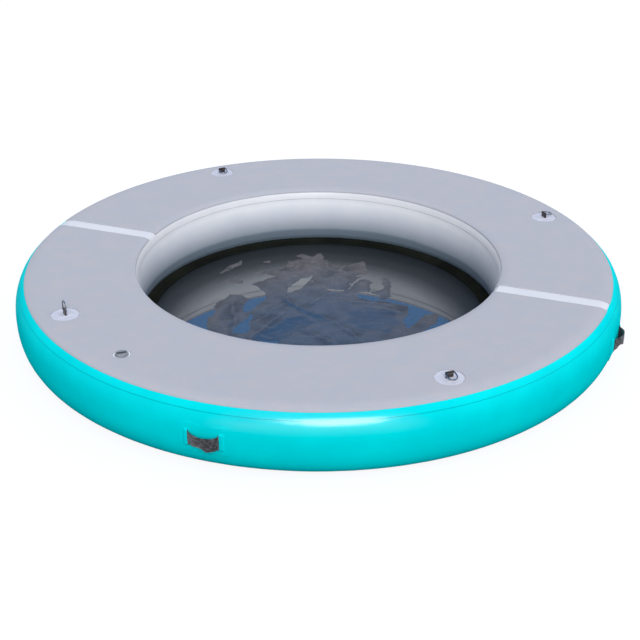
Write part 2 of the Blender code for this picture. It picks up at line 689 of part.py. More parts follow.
def mesh_height(x, y):
    """Middle surface of the floor: two crossing sets of slack folds that die out at the hem."""
    inside = HOLE_RADIUS - SKIRT_FLANGE - GAP - math.hypot(x, y)
    edge = max(0.0, min(1.0, inside / MESH_SETTLE))
    calm = edge * edge * (3 - 2 * edge)
    wave = 2 * math.pi / MESH_FOLD_LENGTH
    long_folds = math.sin(wave * (0.86 * x + 0.5 * y) + 1.3 * math.sin(wave * 0.45 * y))
    cross_folds = math.sin(wave * (0.75 * y - 0.52 * x) + 0.9 + math.sin(wave * 0.4 * x))
    rim_height = SKIRT_FLANGE_HEIGHT + SKIRT / 2 + GAP + MESH / 2
    folded = MESH_HEIGHT + MESH_FOLD * (0.6 * long_folds + 0.4 * cross_folds)
    return rim_height + calm * (folded - rim_height)


def make_mesh_floor():
    """Slack round sheet of coated mesh, a closed solid with its main folds."""
    bm = bmesh.new()
    hem = HOLE_RADIUS - SKIRT_FLANGE - GAP
    radii = [hem * i / (MESH_RINGS - 1) for i in range(1, MESH_RINGS)]
    radii.append(HOLE_RADIUS - SKIRT - GAP)
    faces = []
    for way in (1, -1):
        rings = []
        for radius in radii:
            row = []
            for j in range(RING_FACETS):
                x, y = polar(radius, j * 2 * math.pi / RING_FACETS)
                row.append(bm.verts.new((x, y, mesh_height(x, y) + way * MESH / 2)))
            rings.append(row)
        bm.faces.new(rings[0])
        faces.append(rings)
        for inner, outer in zip(rings, rings[1:]):
            for j in range(RING_FACETS):
                bm.faces.new((inner[j - 1], inner[j], outer[j], outer[j - 1]))
    top, bottom = faces[0][-1], faces[1][-1]
    for j in range(RING_FACETS):
        bm.faces.new((top[j - 1], top[j], bottom[j], bottom[j - 1]))
    place("mesh_floor", mesh_from(bm, "mesh_floor"), "dark_mesh")


def main():
    clear_scene()
    make_chamber()
    make_seam_tapes()
    make_drop_stitch_core()
    make_deck_pads()
    for index in range(len(RING_AZIMUTHS)):
        make_ring_patch(index)
        make_ring_tab(index)
        make_ring(index)
    for index, middle in enumerate(HANDLE_AZIMUTHS):
        make_handle_strap(index, middle)
        for end, way in (("right", -1), ("left", 1)):
            make_handle_base(f"handle_base_{index + 1}_{end}", middle, way)
            make_handle_cover(f"handle_cover_{index + 1}_{end}", middle, way)
    make_valve_body()
    make_valve_seals()
    make_valve_pin()
    make_valve_cap()
    make_skirt()
    make_mesh_floor()


main()
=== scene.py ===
# %% [markdown]
# # A round water hammock
# The real object is an inflated ring of coated fabric, about two metres across, with a foam
# deck on top and a mesh floor slung across its hole. This lesson starts from the engineering
# model, which gives every part its place, and makes the surfaces that the eye sees: smooth
# inflated walls, brushed foam, webbing, steel rings, a moulded valve and wet cloth.

# %% Load the frame
import math

import bpy
import numpy as np
from mathutils import Euler, Matrix, Vector, noise


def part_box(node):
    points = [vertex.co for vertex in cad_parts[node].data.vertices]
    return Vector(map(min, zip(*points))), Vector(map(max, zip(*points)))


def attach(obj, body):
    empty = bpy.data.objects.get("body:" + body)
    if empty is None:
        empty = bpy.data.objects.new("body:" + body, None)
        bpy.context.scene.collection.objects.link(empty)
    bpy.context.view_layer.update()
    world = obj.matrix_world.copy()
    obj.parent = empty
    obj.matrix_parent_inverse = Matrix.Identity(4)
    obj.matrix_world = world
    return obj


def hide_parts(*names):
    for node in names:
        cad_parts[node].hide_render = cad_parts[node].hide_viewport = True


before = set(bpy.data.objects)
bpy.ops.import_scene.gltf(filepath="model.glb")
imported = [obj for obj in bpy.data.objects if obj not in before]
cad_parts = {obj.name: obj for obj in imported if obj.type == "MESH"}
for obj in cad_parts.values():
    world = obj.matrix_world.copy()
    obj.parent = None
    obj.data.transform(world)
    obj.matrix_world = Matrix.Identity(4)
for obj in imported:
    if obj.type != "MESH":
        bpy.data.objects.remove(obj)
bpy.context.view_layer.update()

# %% [markdown]
# Every operator works on what is selected, so a new piece starts with nothing selected.
# These helpers name a new primitive, run an edit step on all of it, and at the end hand the
# piece over: its material, the body that it moves with, and the plain part that it stands for.

# %% Helpers for pieces
SMOOTH_ANGLE = math.radians(35)


def named(name):
    piece = bpy.context.active_object
    piece.name = name
    piece.data.name = name
    return piece


def select_none():
    bpy.ops.object.select_all(action="DESELECT")


def only(piece):
    select_none()
    piece.select_set(True)
    bpy.context.view_layer.objects.active = piece


def edit_all(piece):
    """Enter edit mode with everything selected."""
    only(piece)
    bpy.ops.object.mode_set(mode="EDIT")
    bpy.ops.mesh.select_all(action="SELECT")


def leave_edit():
    bpy.ops.object.mode_set(mode="OBJECT")


def apply_modifier(piece, kind, **settings):
    only(piece)
    modifier = piece.modifiers.new(kind.title(), kind)
    for setting, value in settings.items():
        setattr(modifier, setting, value)
    bpy.ops.object.modifier_apply(modifier=modifier.name)


def cut_away(piece, cutter):
    apply_modifier(piece, "BOOLEAN", object=cutter, operation="DIFFERENCE", solver="EXACT")
    bpy.data.objects.remove(cutter)


def settle(piece, matrix):
    """Put a piece where it belongs, with its place in its mesh."""
    piece.data.transform(matrix)
    piece.data.update()


def hand_over(piece, material, slot, body="float", replaces=(), angle=SMOOTH_ANGLE, flat=False):
    """Give a finished piece its shading, material, body and the parts that it stands for."""
    only(piece)
    bpy.ops.object.shade_smooth_by_angle(angle=angle)
    if flat:
        apply_modifier(piece, "WEIGHTED_NORMAL", keep_sharp=True)
    piece.data.materials.clear()
    piece.data.materials.append(material)
    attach(piece, body)
    if replaces:
        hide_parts(*replaces)
    return piece


# %% [markdown]
# A material is a small tree of nodes. One helper adds a node with its settings and links, and
# one turns the colours, which are written as a screen shows them, into the linear values that
# the shader works with. A link may name a node instead of a socket: that stands for the first
# output that the node uses, such as the colour of a mix of colours. The principled shader is
# made for each material with its plain numbers set on its own sockets, and what varies is fed
# to it at the end.

# %% Helpers for materials
MM = 0.001


def hex_colour(text):
    channels = [int(text[i:i + 2], 16) / 255 for i in (1, 3, 5)]
    return (*[c / 12.92 if c <= 0.04045 else ((c + 0.055) / 1.055) ** 2.4 for c in channels], 1.0)


def output_of(source):
    """The first output that a node uses, or the socket that is given."""
    if isinstance(source, bpy.types.NodeSocket):
        return source
    return next(output for output in source.outputs if output.enabled)


def add_node(tree, kind, values=None, links=None, **settings):
    """Add a node: settings are its properties, values and links go to its sockets."""
    node = tree.nodes.new("ShaderNode" + kind)
    for setting, value in settings.items():
        setattr(node, setting, value)
    for socket, value in (values or {}).items():
        node.inputs[socket].default_value = hex_colour(value) if isinstance(value, str) else value
    for socket, source in (links or {}).items():
        tree.links.new(output_of(source), node.inputs[socket])
    return node


def feed(shader, **sources):
    """Link nodes to a shader's sockets."""
    for socket, source in sources.items():
        shader.id_data.links.new(output_of(source), shader.inputs[socket.replace("_", " ")])


def new_material(name, **plain):
    """A material with its principled shader; plain numbers go on the shader's sockets."""
    made = bpy.data.materials.new(name)
    made.use_nodes = True
    shader = made.node_tree.nodes["Principled BSDF"]
    for socket, value in plain.items():
        shader.inputs[socket.replace("_", " ")].default_value = value
    return made, made.node_tree, shader


# %% [markdown]
# The camera repeats the photograph's viewpoint. Its distance, height and lens were worked out
# from the ellipses of the two rims, whose shape depends on the viewpoint alone, and it aims a
# little below the middle of the ring, because the photograph leaves more room below it.

# %% Camera
RING_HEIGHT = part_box("top_skin")[1].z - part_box("bottom_skin")[0].z
VIEW_AZIMUTH = math.radians(20.13)
VIEW_ELEVATION = math.radians(26.01)
VIEW_DISTANCE = 4.2143
VIEW_TILT = Euler([math.radians(a) for a in (-1.635, -0.067, -0.098)])
LENS = 68.955
SENSOR = 36

back = Vector((math.sin(VIEW_AZIMUTH) * math.cos(VIEW_ELEVATION),
               -math.cos(VIEW_AZIMUTH) * math.cos(VIEW_ELEVATION),
               math.sin(VIEW_ELEVATION)))
camera_data = bpy.data.cameras.new("camera")
camera_data.lens = LENS
camera_data.sensor_width = SENSOR
camera = bpy.data.objects.new("camera", camera_data)
bpy.context.scene.collection.objects.link(camera)
camera.location = Vector((0, 0, RING_HEIGHT / 2)) + back * VIEW_DISTANCE
camera.rotation_mode = "QUATERNION"
camera.rotation_quaternion = (-back).to_track_quat("-Z", "Y") @ VIEW_TILT.to_quaternion()
bpy.context.scene.camera = camera
print("camera at", [round(x, 3) for x in camera.location])

# %% [markdown]
# The light is that of an open sky: a dome that is brighter overhead, and two sun lamps. What
# the camera and the reflections see is a white surround that turns a clear blue overhead, so
# wet and metal surfaces pick up a little of the sky.

# %% Surround
DOME_COLOUR = "#E8F0FF"
DOME_LOW = 0.32               # strength at the horizon
DOME_HIGH = 0.97              # strength overhead
SKY_BLUE = "#74ABEC"
SKY_STARTS = 0.12             # height of the view direction where the surround turns blue
SKY_FULL = 0.42


def looked_at(tree):
    """1 for rays from the camera and from reflections, 0 for the light itself."""
    path = add_node(tree, "LightPath")
    either = add_node(tree, "Math", operation="MAXIMUM",
                      links={0: path.outputs["Is Camera Ray"], 1: path.outputs["Is Glossy Ray"]})
    return add_node(tree, "Math", operation="MAXIMUM",
                    links={0: either, 1: path.outputs["Is Transmission Ray"]})


world = bpy.data.worlds.new("open_sky")
bpy.context.scene.world = world
world.use_nodes = True
tree = world.node_tree
tree.nodes.clear()
direction = add_node(tree, "TexCoord")
height = add_node(tree, "SeparateXYZ", links={0: direction.outputs["Generated"]})
rise = add_node(tree, "MapRange", interpolation_type="SMOOTHSTEP",
                values={"From Min": SKY_STARTS, "From Max": SKY_FULL},
                links={"Value": height.outputs["Z"]})
surround = add_node(tree, "Mix", data_type="RGBA",
                    values={6: (1, 1, 1, 1), 7: hex_colour(SKY_BLUE)}, links={0: rise})
seen = add_node(tree, "Background", links={"Color": surround})
strength = add_node(tree, "MapRange", values={"To Min": DOME_LOW, "To Max": DOME_HIGH},
                    links={"Value": height.outputs["Z"]})
dome = add_node(tree, "Background", values={"Color": hex_colour(DOME_COLOUR)},
                links={"Strength": strength})
both = add_node(tree, "MixShader", links={0: looked_at(tree), 1: dome, 2: seen})
add_node(tree, "OutputWorld", links={"Surface": both})
print("surround of", len(tree.nodes), "nodes")

# %% [markdown]
# One soft lamp shines over the viewer's shoulder, and a weak wide one from the right lifts the
# left end of the inner wall. They are sun lamps, whose light is as strong at the far side of a
# two metre ring as at the near side, and they look wide in the sky, which keeps the edges of
# shadows soft. A strength of pi lights a surface that faces the lamp as a dome of 1 does, so
# both are written as shares of pi.

# %% Lamps
LAMPS = {  # azimuth, elevation, width (degrees) and strength as a share of pi
    "soft_lamp": (-63, 34, 30, 0.55),
    "fill_lamp": (20, 35, 45, 0.10)}
LAMP_DISTANCE = 5

for name, (*angles, share) in LAMPS.items():
    azimuth, elevation, width = [math.radians(angle) for angle in angles]
    lamp_data = bpy.data.lights.new(name, "SUN")
    lamp_data.angle = width
    lamp_data.energy = share * math.pi
    lamp = bpy.data.objects.new(name, lamp_data)
    bpy.context.scene.collection.objects.link(lamp)
    towards = Vector((math.cos(azimuth) * math.cos(elevation),
                      math.sin(azimuth) * math.cos(elevation), math.sin(elevation)))
    lamp.location = LAMP_DISTANCE * towards
    lamp.rotation_mode = "QUATERNION"
    lamp.rotation_quaternion = (-towards).to_track_quat("-Z", "Y")
print("lamps", list(LAMPS))

# %% [markdown]
# The ring rests on a large plain floor of middling grey, which throws some light back up on
# the walls. For rays that look straight at it, it also glows, and with the light that it
# returns that matches the surround's white. Where the ring shades it, less light returns, so
# the soft shadow stays.

# %% Studio floor
FLOOR_COLOUR = "#6F7276"
FLOOR_GLOW = 0.86
FLOOR_SIZE = 40
FLOOR_GAP = 0.5 * MM          # below the ring, so the two surfaces don't fight

select_none()
bpy.ops.mesh.primitive_plane_add(size=FLOOR_SIZE, location=(0, 0, 0))
floor = named("studio_floor")
settle(floor, Matrix.Translation((0, 0, -FLOOR_GAP)))
floor_material, tree, shader = new_material("studio_floor", Roughness=1.0)
shader.inputs["Base Color"].default_value = hex_colour(FLOOR_COLOUR)
shader.inputs["Specular IOR Level"].default_value = 0
shader.inputs["Emission Color"].default_value = (1, 1, 1, 1)
glow = add_node(tree, "Math", operation="MULTIPLY", values={1: FLOOR_GLOW},
                links={0: looked_at(tree)})
feed(shader, Emission_Strength=glow)
floor.data.materials.append(floor_material)

bpy.context.scene.view_settings.view_transform = "Standard"

# %% [markdown]
# Inflated drop-stitch fabric is flat where yarns hold its two skins apart, and its free walls
# swell outwards. A slice through such a wall is a rounded box rather than a half circle, which
# a superellipse gives with one power. Every layer on the ring, a wall, a tape or a foam pad,
# is laid on that one slice, so they meet without gaps.

# %% The slice through the ring
OUTER_RADIUS = 1.015
HOLE_RADIUS = 0.601
BULGE = {"outer": 0.071, "inner": -0.030}
FLAT_RADIUS = {"outer": OUTER_RADIUS - BULGE["outer"], "inner": HOLE_RADIUS - BULGE["inner"]}
BULGE_POWER = 2.4
MIDDLE = RING_HEIGHT / 2
DECK = RING_HEIGHT
PAD_SETBACK = {"outer": 0.035, "inner": 0.015}
TAPE_WIDTH = 0.023
PAD_TO_TAPE = 0.001


def slice_point(side, angle):
    """Point and outward normal, as (radius, height): 90 degrees ends the deck, 0 is the belly."""
    across = abs(math.cos(angle)) ** (2 / BULGE_POWER)
    rise = math.copysign(abs(math.sin(angle)) ** (2 / BULGE_POWER), angle)
    normal = Vector((across ** (BULGE_POWER - 1) / BULGE[side],
                     math.copysign(abs(rise) ** (BULGE_POWER - 1), rise) / MIDDLE))
    point = Vector((FLAT_RADIUS[side] + BULGE[side] * across, MIDDLE * (1 + rise)))
    return point, normal.normalized()


def angle_at_radius(side, radius):
    return math.acos(((radius - FLAT_RADIUS[side]) / BULGE[side]) ** (BULGE_POWER / 2))


def angle_at_height(height):
    share = (height - MIDDLE) / MIDDLE
    return math.copysign(math.asin(min(1.0, abs(share)) ** (BULGE_POWER / 2)), share)


print("middle of the wall at height", round(MIDDLE, 4))

# %% [markdown]
# Places on the slice are found by walking along the cloth from a place that is known, as a
# tape measure laid on the real ring would find them. So a tape 23 mm wide takes 23 mm of
# cloth, however the wall curves under it.

# %% Walking along the slice
SAMPLES = 720                 # steps of a finely spaced path
WALK = math.radians(0.1)      # turn of the slice in one step of a walk


def wall_path(side, first, last):
    """Finely spaced points down a wall from one angle to another."""
    return [slice_point(side, first + (last - first) * i / SAMPLES) for i in range(SAMPLES + 1)]


def deck_path(inner_edge, outer_edge):
    """Finely spaced points across the top, from its inner edge to its outer edge."""
    inside = wall_path("inner", inner_edge, math.pi / 2)
    outside = wall_path("outer", math.pi / 2, outer_edge)
    return inside + outside


def along(path, distances):
    """Points and normals at these distances from the start of a path."""
    found = []
    gone, i = 0.0, 0
    for wanted in distances:
        while i < len(path) - 2 and gone + (path[i + 1][0] - path[i][0]).length < wanted:
            gone += (path[i + 1][0] - path[i][0]).length
            i += 1
        step = (path[i + 1][0] - path[i][0]).length
        share = min(1.0, max(0.0, (wanted - gone) / max(step, 1e-9)))
        found.append((path[i][0].lerp(path[i + 1][0], share),
                      path[i][1].lerp(path[i + 1][1], share).normalized()))
    return found


def path_length(path):
    return sum((b[0] - a[0]).length for a, b in zip(path, path[1:]))


def angle_after(side, start, distance):
    """The angle reached by walking down the fabric (or up, for less than 0) from an angle."""
    step = math.copysign(WALK, distance)
    left = abs(distance)
    angle, here = start, slice_point(side, start)[0]
    while left > 0:
        angle -= step
        there = slice_point(side, angle)[0]
        left -= (there - here).length
        here = there
    return angle


PAD_EDGE = {"outer": angle_at_radius("outer", OUTER_RADIUS - PAD_SETBACK["outer"]),
            "inner": angle_at_radius("inner", HOLE_RADIUS + PAD_SETBACK["inner"])}
TAPE_START = {side: angle_after(side, PAD_EDGE[side], PAD_TO_TAPE) for side in BULGE}
SEAM = {side: angle_after(side, TAPE_START[side], TAPE_WIDTH / 2) for side in BULGE}
TAPE_END = {side: angle_after(side, SEAM[side], TAPE_WIDTH / 2) for side in BULGE}
print("tape ends at heights", {s: round(slice_point(s, TAPE_END[s])[0].y, 4) for s in BULGE})

# %% [markdown]
# A ring-shaped piece could be carved from a torus, but its slice is no circle. So a circle
# primitive is added with as many points as the slice needs, its points are laid along the
# slice, and a screw modifier without any climb carries them round the axis. The edges of each
# layer are rounded in the slice, where it costs only a few points.

# %% Turning a slice into a ring
ROUND = 360
EDGE_SHARES = (0, 0.12, 0.35, 0.65, 1)   # points over a rounded edge, closest at its end
MOST_DROP = 0.85              # share of a layer's thickness that its rounding may take
WELD = 0.01 * MM


def spread(length, rounding, step):
    """Distances along a path: close together at its rounded ends, evenly spaced between."""
    ends = [rounding * share for share in EDGE_SHARES]
    count = max(1, round((length - 2 * rounding) / step))
    middle = [rounding + (length - 2 * rounding) * i / count for i in range(1, count)]
    return ends + middle + [length - d for d in reversed(ends)]


def layer_outline(path, near, far, rounding, step=4 * MM):
    """Closed outline of a layer over a path, from lift near to lift far, with round edges."""
    length = path_length(path)
    distances = spread(length, rounding, step)
    stations = along(path, distances)
    drop = min(rounding, MOST_DROP * (far - near))
    over = []
    for (point, normal), d in zip(stations, distances):
        short = max(0.0, 1 - min(d, length - d) / rounding)
        lift = far - drop * (1 - math.sqrt(1 - short * short))
        over.append(point + normal * lift)
    under = [point + normal * near for point, normal in stations]
    return over + under[::-1]


def upside_down(outline):
    return [Vector((p.x, RING_HEIGHT - p.y)) for p in outline]


def turned(name, outline, steps=ROUND):
    """Lay a circle's points on a closed outline (radius, height) and carry it round Z."""
    select_none()
    bpy.ops.mesh.primitive_circle_add(vertices=len(outline), radius=1, fill_type="NOTHING")
    ring = named(name)
    for vertex, place in zip(ring.data.vertices, outline):
        vertex.co = (place[0], 0, place[1])
    apply_modifier(ring, "SCREW", axis="Z", angle=2 * math.pi, steps=steps, render_steps=steps,
                   use_merge_vertices=True, merge_threshold=WELD)
    edit_all(ring)
    bpy.ops.mesh.remove_doubles(threshold=WELD)
    bpy.ops.mesh.delete_loose()
    bpy.ops.mesh.select_all(action="SELECT")
    bpy.ops.mesh.normals_make_consistent(inside=False)
    leave_edit()
    return ring


# %% [markdown]
# The skins and walls are polyester cloth coated with PVC, pressed smooth between rollers. The
# eye reads it by its satin gloss, which is broken up by the weave just under the coating, and
# by very slight changes of tone. The weave is drawn in ring coordinates, worked out from the
# object's own: the distance round the ring and the height. Its real pitch of about a
# millimetre wouldn't show, so the threads are drawn three millimetres apart.

# %% Coated fabric
WEAVE = 3 * MM
CLOUD = 140 * MM              # size of the slight changes of tone
GRAIN = 9 * MM                # size of the changes of gloss
TWO_PI = 2 * math.pi


def ring_coordinates(tree):
    """Object coordinates, and the distance round the ring and height as a vector."""
    place = add_node(tree, "TexCoord").outputs["Object"]
    parts = add_node(tree, "SeparateXYZ", links={0: place})
    turn = add_node(tree, "Math", operation="ARCTAN2",
                    links={0: parts.outputs["Y"], 1: parts.outputs["X"]})
    threads = round(TWO_PI * OUTER_RADIUS / WEAVE)
    round_it = add_node(tree, "Math", operation="MULTIPLY", values={1: threads}, links={0: turn})
    up = add_node(tree, "Math", operation="MULTIPLY", values={1: TWO_PI / WEAVE},
                  links={0: parts.outputs["Z"]})
    return place, round_it, up


def coated_fabric(name, pale, deep, roughness, level=0.5):
    """PVC-coated cloth: pale and deep are the two ends of its slight changes of tone."""
    made, tree, shader = new_material(name, Roughness=roughness, IOR=1.53,
                                      Specular_IOR_Level=level)
    place, round_it, up = ring_coordinates(tree)
    cloud = add_node(tree, "TexNoise", links={"Vector": place},
                     values={"Scale": 1 / CLOUD, "Detail": 3, "Roughness": 0.55})
    tone = add_node(tree, "MapRange", values={"From Min": 0.35, "From Max": 0.65},
                    links={"Value": cloud})
    colour = add_node(tree, "Mix", data_type="RGBA",
                      values={6: hex_colour(deep), 7: hex_colour(pale)}, links={0: tone})
    feed(shader, Base_Color=colour)
    grain = add_node(tree, "TexNoise", links={"Vector": place},
                     values={"Scale": 1 / GRAIN, "Detail": 4, "Roughness": 0.6})
    gloss = add_node(tree, "MapRange", links={"Value": grain},
                     values={"From Min": 0.3, "From Max": 0.7,
                             "To Min": roughness - 0.07, "To Max": roughness + 0.09})
    feed(shader, Roughness=gloss)
    warp = add_node(tree, "Math", operation="SINE", links={0: round_it})
    weft = add_node(tree, "Math", operation="SINE", links={0: up})
    weave = add_node(tree, "Math", operation="MULTIPLY", links={0: warp, 1: weft})
    relief = add_node(tree, "Math", operation="MULTIPLY_ADD", values={1: 0.5},
                      links={0: weave, 2: grain})
    bump = add_node(tree, "Bump", values={"Strength": 0.35, "Distance": 0.12 * MM},
                    links={"Height": relief})
    feed(shader, Normal=bump)
    return made


white_fabric = coated_fabric("white_coated_fabric", "#F4F4F5", "#EEEFF2", 0.42)
patch_fabric = coated_fabric("patch_coated_fabric", "#D5D4DD", "#CECED8", 0.42)
deck_fabric = coated_fabric("deck_coated_fabric", "#E7E5E7", "#E1E0E3", 0.46)
teal_fabric = coated_fabric("teal_coated_fabric", "#00E6E8", "#00DEE2", 0.30, level=0.0)
print("coated fabrics", [m.name for m in bpy.data.materials if m.name.endswith("fabric")])

# %% [markdown]
# The teal wall is dull where water and hands leave their marks. Where people climb on, its
# shoulder is rubbed clean and glossy, which gives the eye one soft window of light there. The
# gloss is a clear coat, whose weight grows with the height and towards that side.

# %% Polished shoulder
CLIMBED_AZIMUTH = math.radians(290)
CLIMBED_HEIGHTS = (0.140, 0.170)   # where the gloss starts and where it is full
CLIMBED_REACH = (0.942 * OUTER_RADIUS, 0.972 * OUTER_RADIUS)  # distance towards that side


def polished_shoulder(fabric):
    """A clear gloss high on the wall, fullest on the side where people climb on."""
    tree = fabric.node_tree
    shader = tree.nodes["Principled BSDF"]
    place = add_node(tree, "TexCoord").outputs["Object"]
    z = add_node(tree, "SeparateXYZ", links={0: place}).outputs["Z"]
    gloss = add_node(tree, "MapRange", links={"Value": z},
                     values={"From Min": CLIMBED_HEIGHTS[0], "From Max": CLIMBED_HEIGHTS[1]})
    side = add_node(tree, "VectorMath", operation="DOT_PRODUCT", links={0: place},
                    values={1: (math.cos(CLIMBED_AZIMUTH), math.sin(CLIMBED_AZIMUTH), 0)})
    climbed = add_node(tree, "MapRange", links={"Value": side},
                       values={"From Min": CLIMBED_REACH[0], "From Max": CLIMBED_REACH[1],
                               "To Min": 0.03})
    share = add_node(tree, "Math", operation="MULTIPLY", links={0: gloss, 1: climbed})
    feed(shader, Coat_Weight=share, Coat_Normal=shader.inputs["Normal"].links[0].from_socket)
    shader.inputs["Coat Roughness"].default_value = 0.20
    shader.inputs["Coat IOR"].default_value = 1.75


polished_shoulder(teal_fabric)

# %% [markdown]
# The inner wall stands in the water that comes through the mesh. Its colour carries painted
# shade: its white turns to a blue grey towards the floor, with a fairly clear step low on the
# wall, and is a little darker again on the tape at the top. The same fabric is copied, and its
# colour is multiplied by a ramp over the height.

# %% Painted shade on the inner wall
# painted shade: the white is darkened towards the floor, by height in metres
PAINTED_SHADE_RAMP = [(0.010, "#65747F"), (0.030, "#7A8893"), (0.050, "#838F9A"), (0.058, "#A8B1BA"),
             (0.092, "#CED2D8"), (0.125, "#EDEFF2"), (0.160, "#FFFFFF"), (0.188, "#F0EEED")]
SHADE_LINE_WANDER = 14 * MM              # how much the painted shade's step wanders up and down
SHADE_LINE_SIZE = 160 * MM


def varied(material, name):
    """A copy of a finish: the copy, its tree, its shader, its colour, and place and height."""
    made = material.copy()
    made.name = name
    tree = made.node_tree
    shader = tree.nodes["Principled BSDF"]
    base = shader.inputs["Base Color"].links[0].from_socket
    place = add_node(tree, "TexCoord").outputs["Object"]
    z = add_node(tree, "SeparateXYZ", links={0: place}).outputs["Z"]
    return made, tree, shader, base, place, z


def with_painted_shade(fabric, name):
    """A copy of a fabric whose colour is multiplied by the painted shade ramp over the height."""
    made, tree, shader, base, place, z = varied(fabric, name)
    shade_line_noise = add_node(tree, "TexNoise", links={"Vector": place},
                      values={"Scale": 1 / SHADE_LINE_SIZE, "Detail": 4})
    shifted = add_node(tree, "Math", operation="MULTIPLY_ADD", values={1: SHADE_LINE_WANDER},
                       links={0: shade_line_noise, 2: z})
    share = add_node(tree, "MapRange", links={"Value": shifted},
                     values={"From Min": SHADE_LINE_WANDER / 2, "From Max": RING_HEIGHT + SHADE_LINE_WANDER / 2})
    ramp = add_node(tree, "ValToRGB", links={"Fac": share})
    stops = ramp.color_ramp.elements
    while len(stops) < len(PAINTED_SHADE_RAMP):
        stops.new(1.0)
    for stop, (level, colour) in zip(stops, PAINTED_SHADE_RAMP):
        stop.position = level / RING_HEIGHT
        stop.color = hex_colour(colour)
    tinted = add_node(tree, "Mix", data_type="RGBA", blend_type="MULTIPLY",
                      values={0: 1.0}, links={6: base, 7: ramp.outputs["Color"]})
    feed(shader, Base_Color=tinted)
    return made


painted_shade_fabric = with_painted_shade(white_fabric, "painted_shade_white_fabric")
print("painted shade ramp from", PAINTED_SHADE_RAMP[0], "to", PAINTED_SHADE_RAMP[-1])

# %% [markdown]
# The four fabric shells of the chamber come first: the deck skin, the underside, and the two
# walls. A wall that is glued in from a flat strip puckers a little beside its seams, because
# the strip is straight and the rim is round. Those puckers are shallow waves that die out
# down the wall; they are moved in the mesh, so that they also catch the light in other views.

# %% Skins and walls
SKIN = 1.2 * MM
SKIN_ROUNDING = 0.3 * MM
WALL_STEP = 5 * MM            # spacing of the points along the slice
DECK_STEP = 12 * MM
PUCKER = 0.45 * MM
PUCKER_PITCH = 46 * MM
PUCKER_REACH = 42 * MM        # from the seam, down and up
PUCKER_RISE = 90 * MM         # how tall one pucker is


def pucker(x, y, z, side):
    """How far the fabric lifts beside its seams."""
    seam_height = slice_point(side, SEAM[side])[0].y
    gap = min(abs(z - seam_height), abs(z - (RING_HEIGHT - seam_height)))
    fade = math.exp(-(gap / PUCKER_REACH) ** 2)
    ring_place = Vector((x, y, 0)).normalized() * OUTER_RADIUS / PUCKER_PITCH
    return PUCKER * fade * noise.noise(ring_place + Vector((0, 0, z / PUCKER_RISE)))


def puckered(piece, side):
    way = 1 if side == "outer" else -1
    for vertex in piece.data.vertices:
        x, y, z = vertex.co
        outwards = Vector((x, y, 0)).normalized() * way
        vertex.co += outwards * pucker(x, y, z, side)
    return piece


for side, fabric, slot in (("outer", teal_fabric, "teal_pvc"), ("inner", painted_shade_fabric, "white_pvc")):
    path = wall_path(side, SEAM[side], -SEAM[side])
    outline = layer_outline(path, -SKIN, 0, SKIN_ROUNDING, WALL_STEP)
    wall = puckered(turned(f"{side}_wall_fabric", outline, 2 * ROUND), side)
    hand_over(wall, fabric, slot, replaces=[f"{side}_wall"])

skin_outline = layer_outline(deck_path(SEAM["inner"], SEAM["outer"]), -SKIN, 0, SKIN_ROUNDING,
                             DECK_STEP)
deck_skin = turned("deck_skin_fabric", skin_outline)
underside = turned("underside_fabric", upside_down(skin_outline))
hand_over(underside, white_fabric, "white_pvc", replaces=["bottom_skin"])

# %% [markdown]
# Each seam is covered by a glued tape, 23 mm wide. Its lower edge shows in the photograph as a
# fine darker line, where the cut edge of the tape shows its cloth and a little glue. So the
# tape's material darkens within two millimetres of that edge, found by its height. The upper
# tapes reach a little under the pads' thin edges, so no skin shows between them. The lower inner
# tape takes the same painted shade as its wall, and has no line of its own.

# %% Seam tapes
TAPE = 1.0 * MM
LOW_TAPE = 0.4 * TAPE         # below, the ring's weight has pressed the tapes thinner
TAPE_ROUNDING = 0.5 * MM
LOW_ROUNDING = 0.3 * MM
TAPE_STEP = 3 * MM
EDGE_LINE = 2.2 * MM          # width of the line, full in the third beside the edge
TUCK = 2.5 * MM               # how far the upper tapes reach under the pads' thin edges


def taped(fabric, name, edge_height, line):
    """A copy of a fabric with a line along the tape's free edges, above and below."""
    made, tree, shader, base, _, z = varied(fabric, name)
    off_middle = add_node(tree, "Math", operation="SUBTRACT", values={1: MIDDLE}, links={0: z})
    away = add_node(tree, "Math", operation="ABSOLUTE", links={0: off_middle})
    edge = edge_height - MIDDLE
    mask = add_node(tree, "MapRange", links={"Value": away},
                    values={"From Min": edge + 0.35 * EDGE_LINE, "From Max": edge + EDGE_LINE,
                            "To Min": 1, "To Max": 0})
    mixed = add_node(tree, "Mix", data_type="RGBA", values={7: hex_colour(line)},
                     links={0: mask, 6: base})
    feed(shader, Base_Color=mixed)
    return made


for side, fabric, slot, line in (("outer", teal_fabric, "teal_pvc", "#049AA6"),
                                 ("inner", painted_shade_fabric, "white_pvc", "#A9AFBC")):
    edge_height = slice_point(side, TAPE_END[side])[0].y
    tape_fabric = taped(fabric, f"{side}_tape", edge_height, line)
    tucked = angle_after(side, TAPE_START[side], -TUCK)
    thick = layer_outline(wall_path(side, tucked, TAPE_END[side]), 0, TAPE, TAPE_ROUNDING,
                          TAPE_STEP)
    thin = layer_outline(wall_path(side, TAPE_START[side], TAPE_END[side]), 0, LOW_TAPE,
                         LOW_ROUNDING, TAPE_STEP)
    for level, shape in (("top", thick), ("bottom", upside_down(thin))):
        tape = puckered(turned(f"{side}_{level}_tape", shape, 2 * ROUND), side)
        plain = side == "inner" and level == "bottom"
        hand_over(tape, painted_shade_fabric if plain else tape_fabric, slot,
                  replaces=[f"{side}_{level}_seam_tape"])
    print(side, "tape's line at height", round(edge_height, 4))

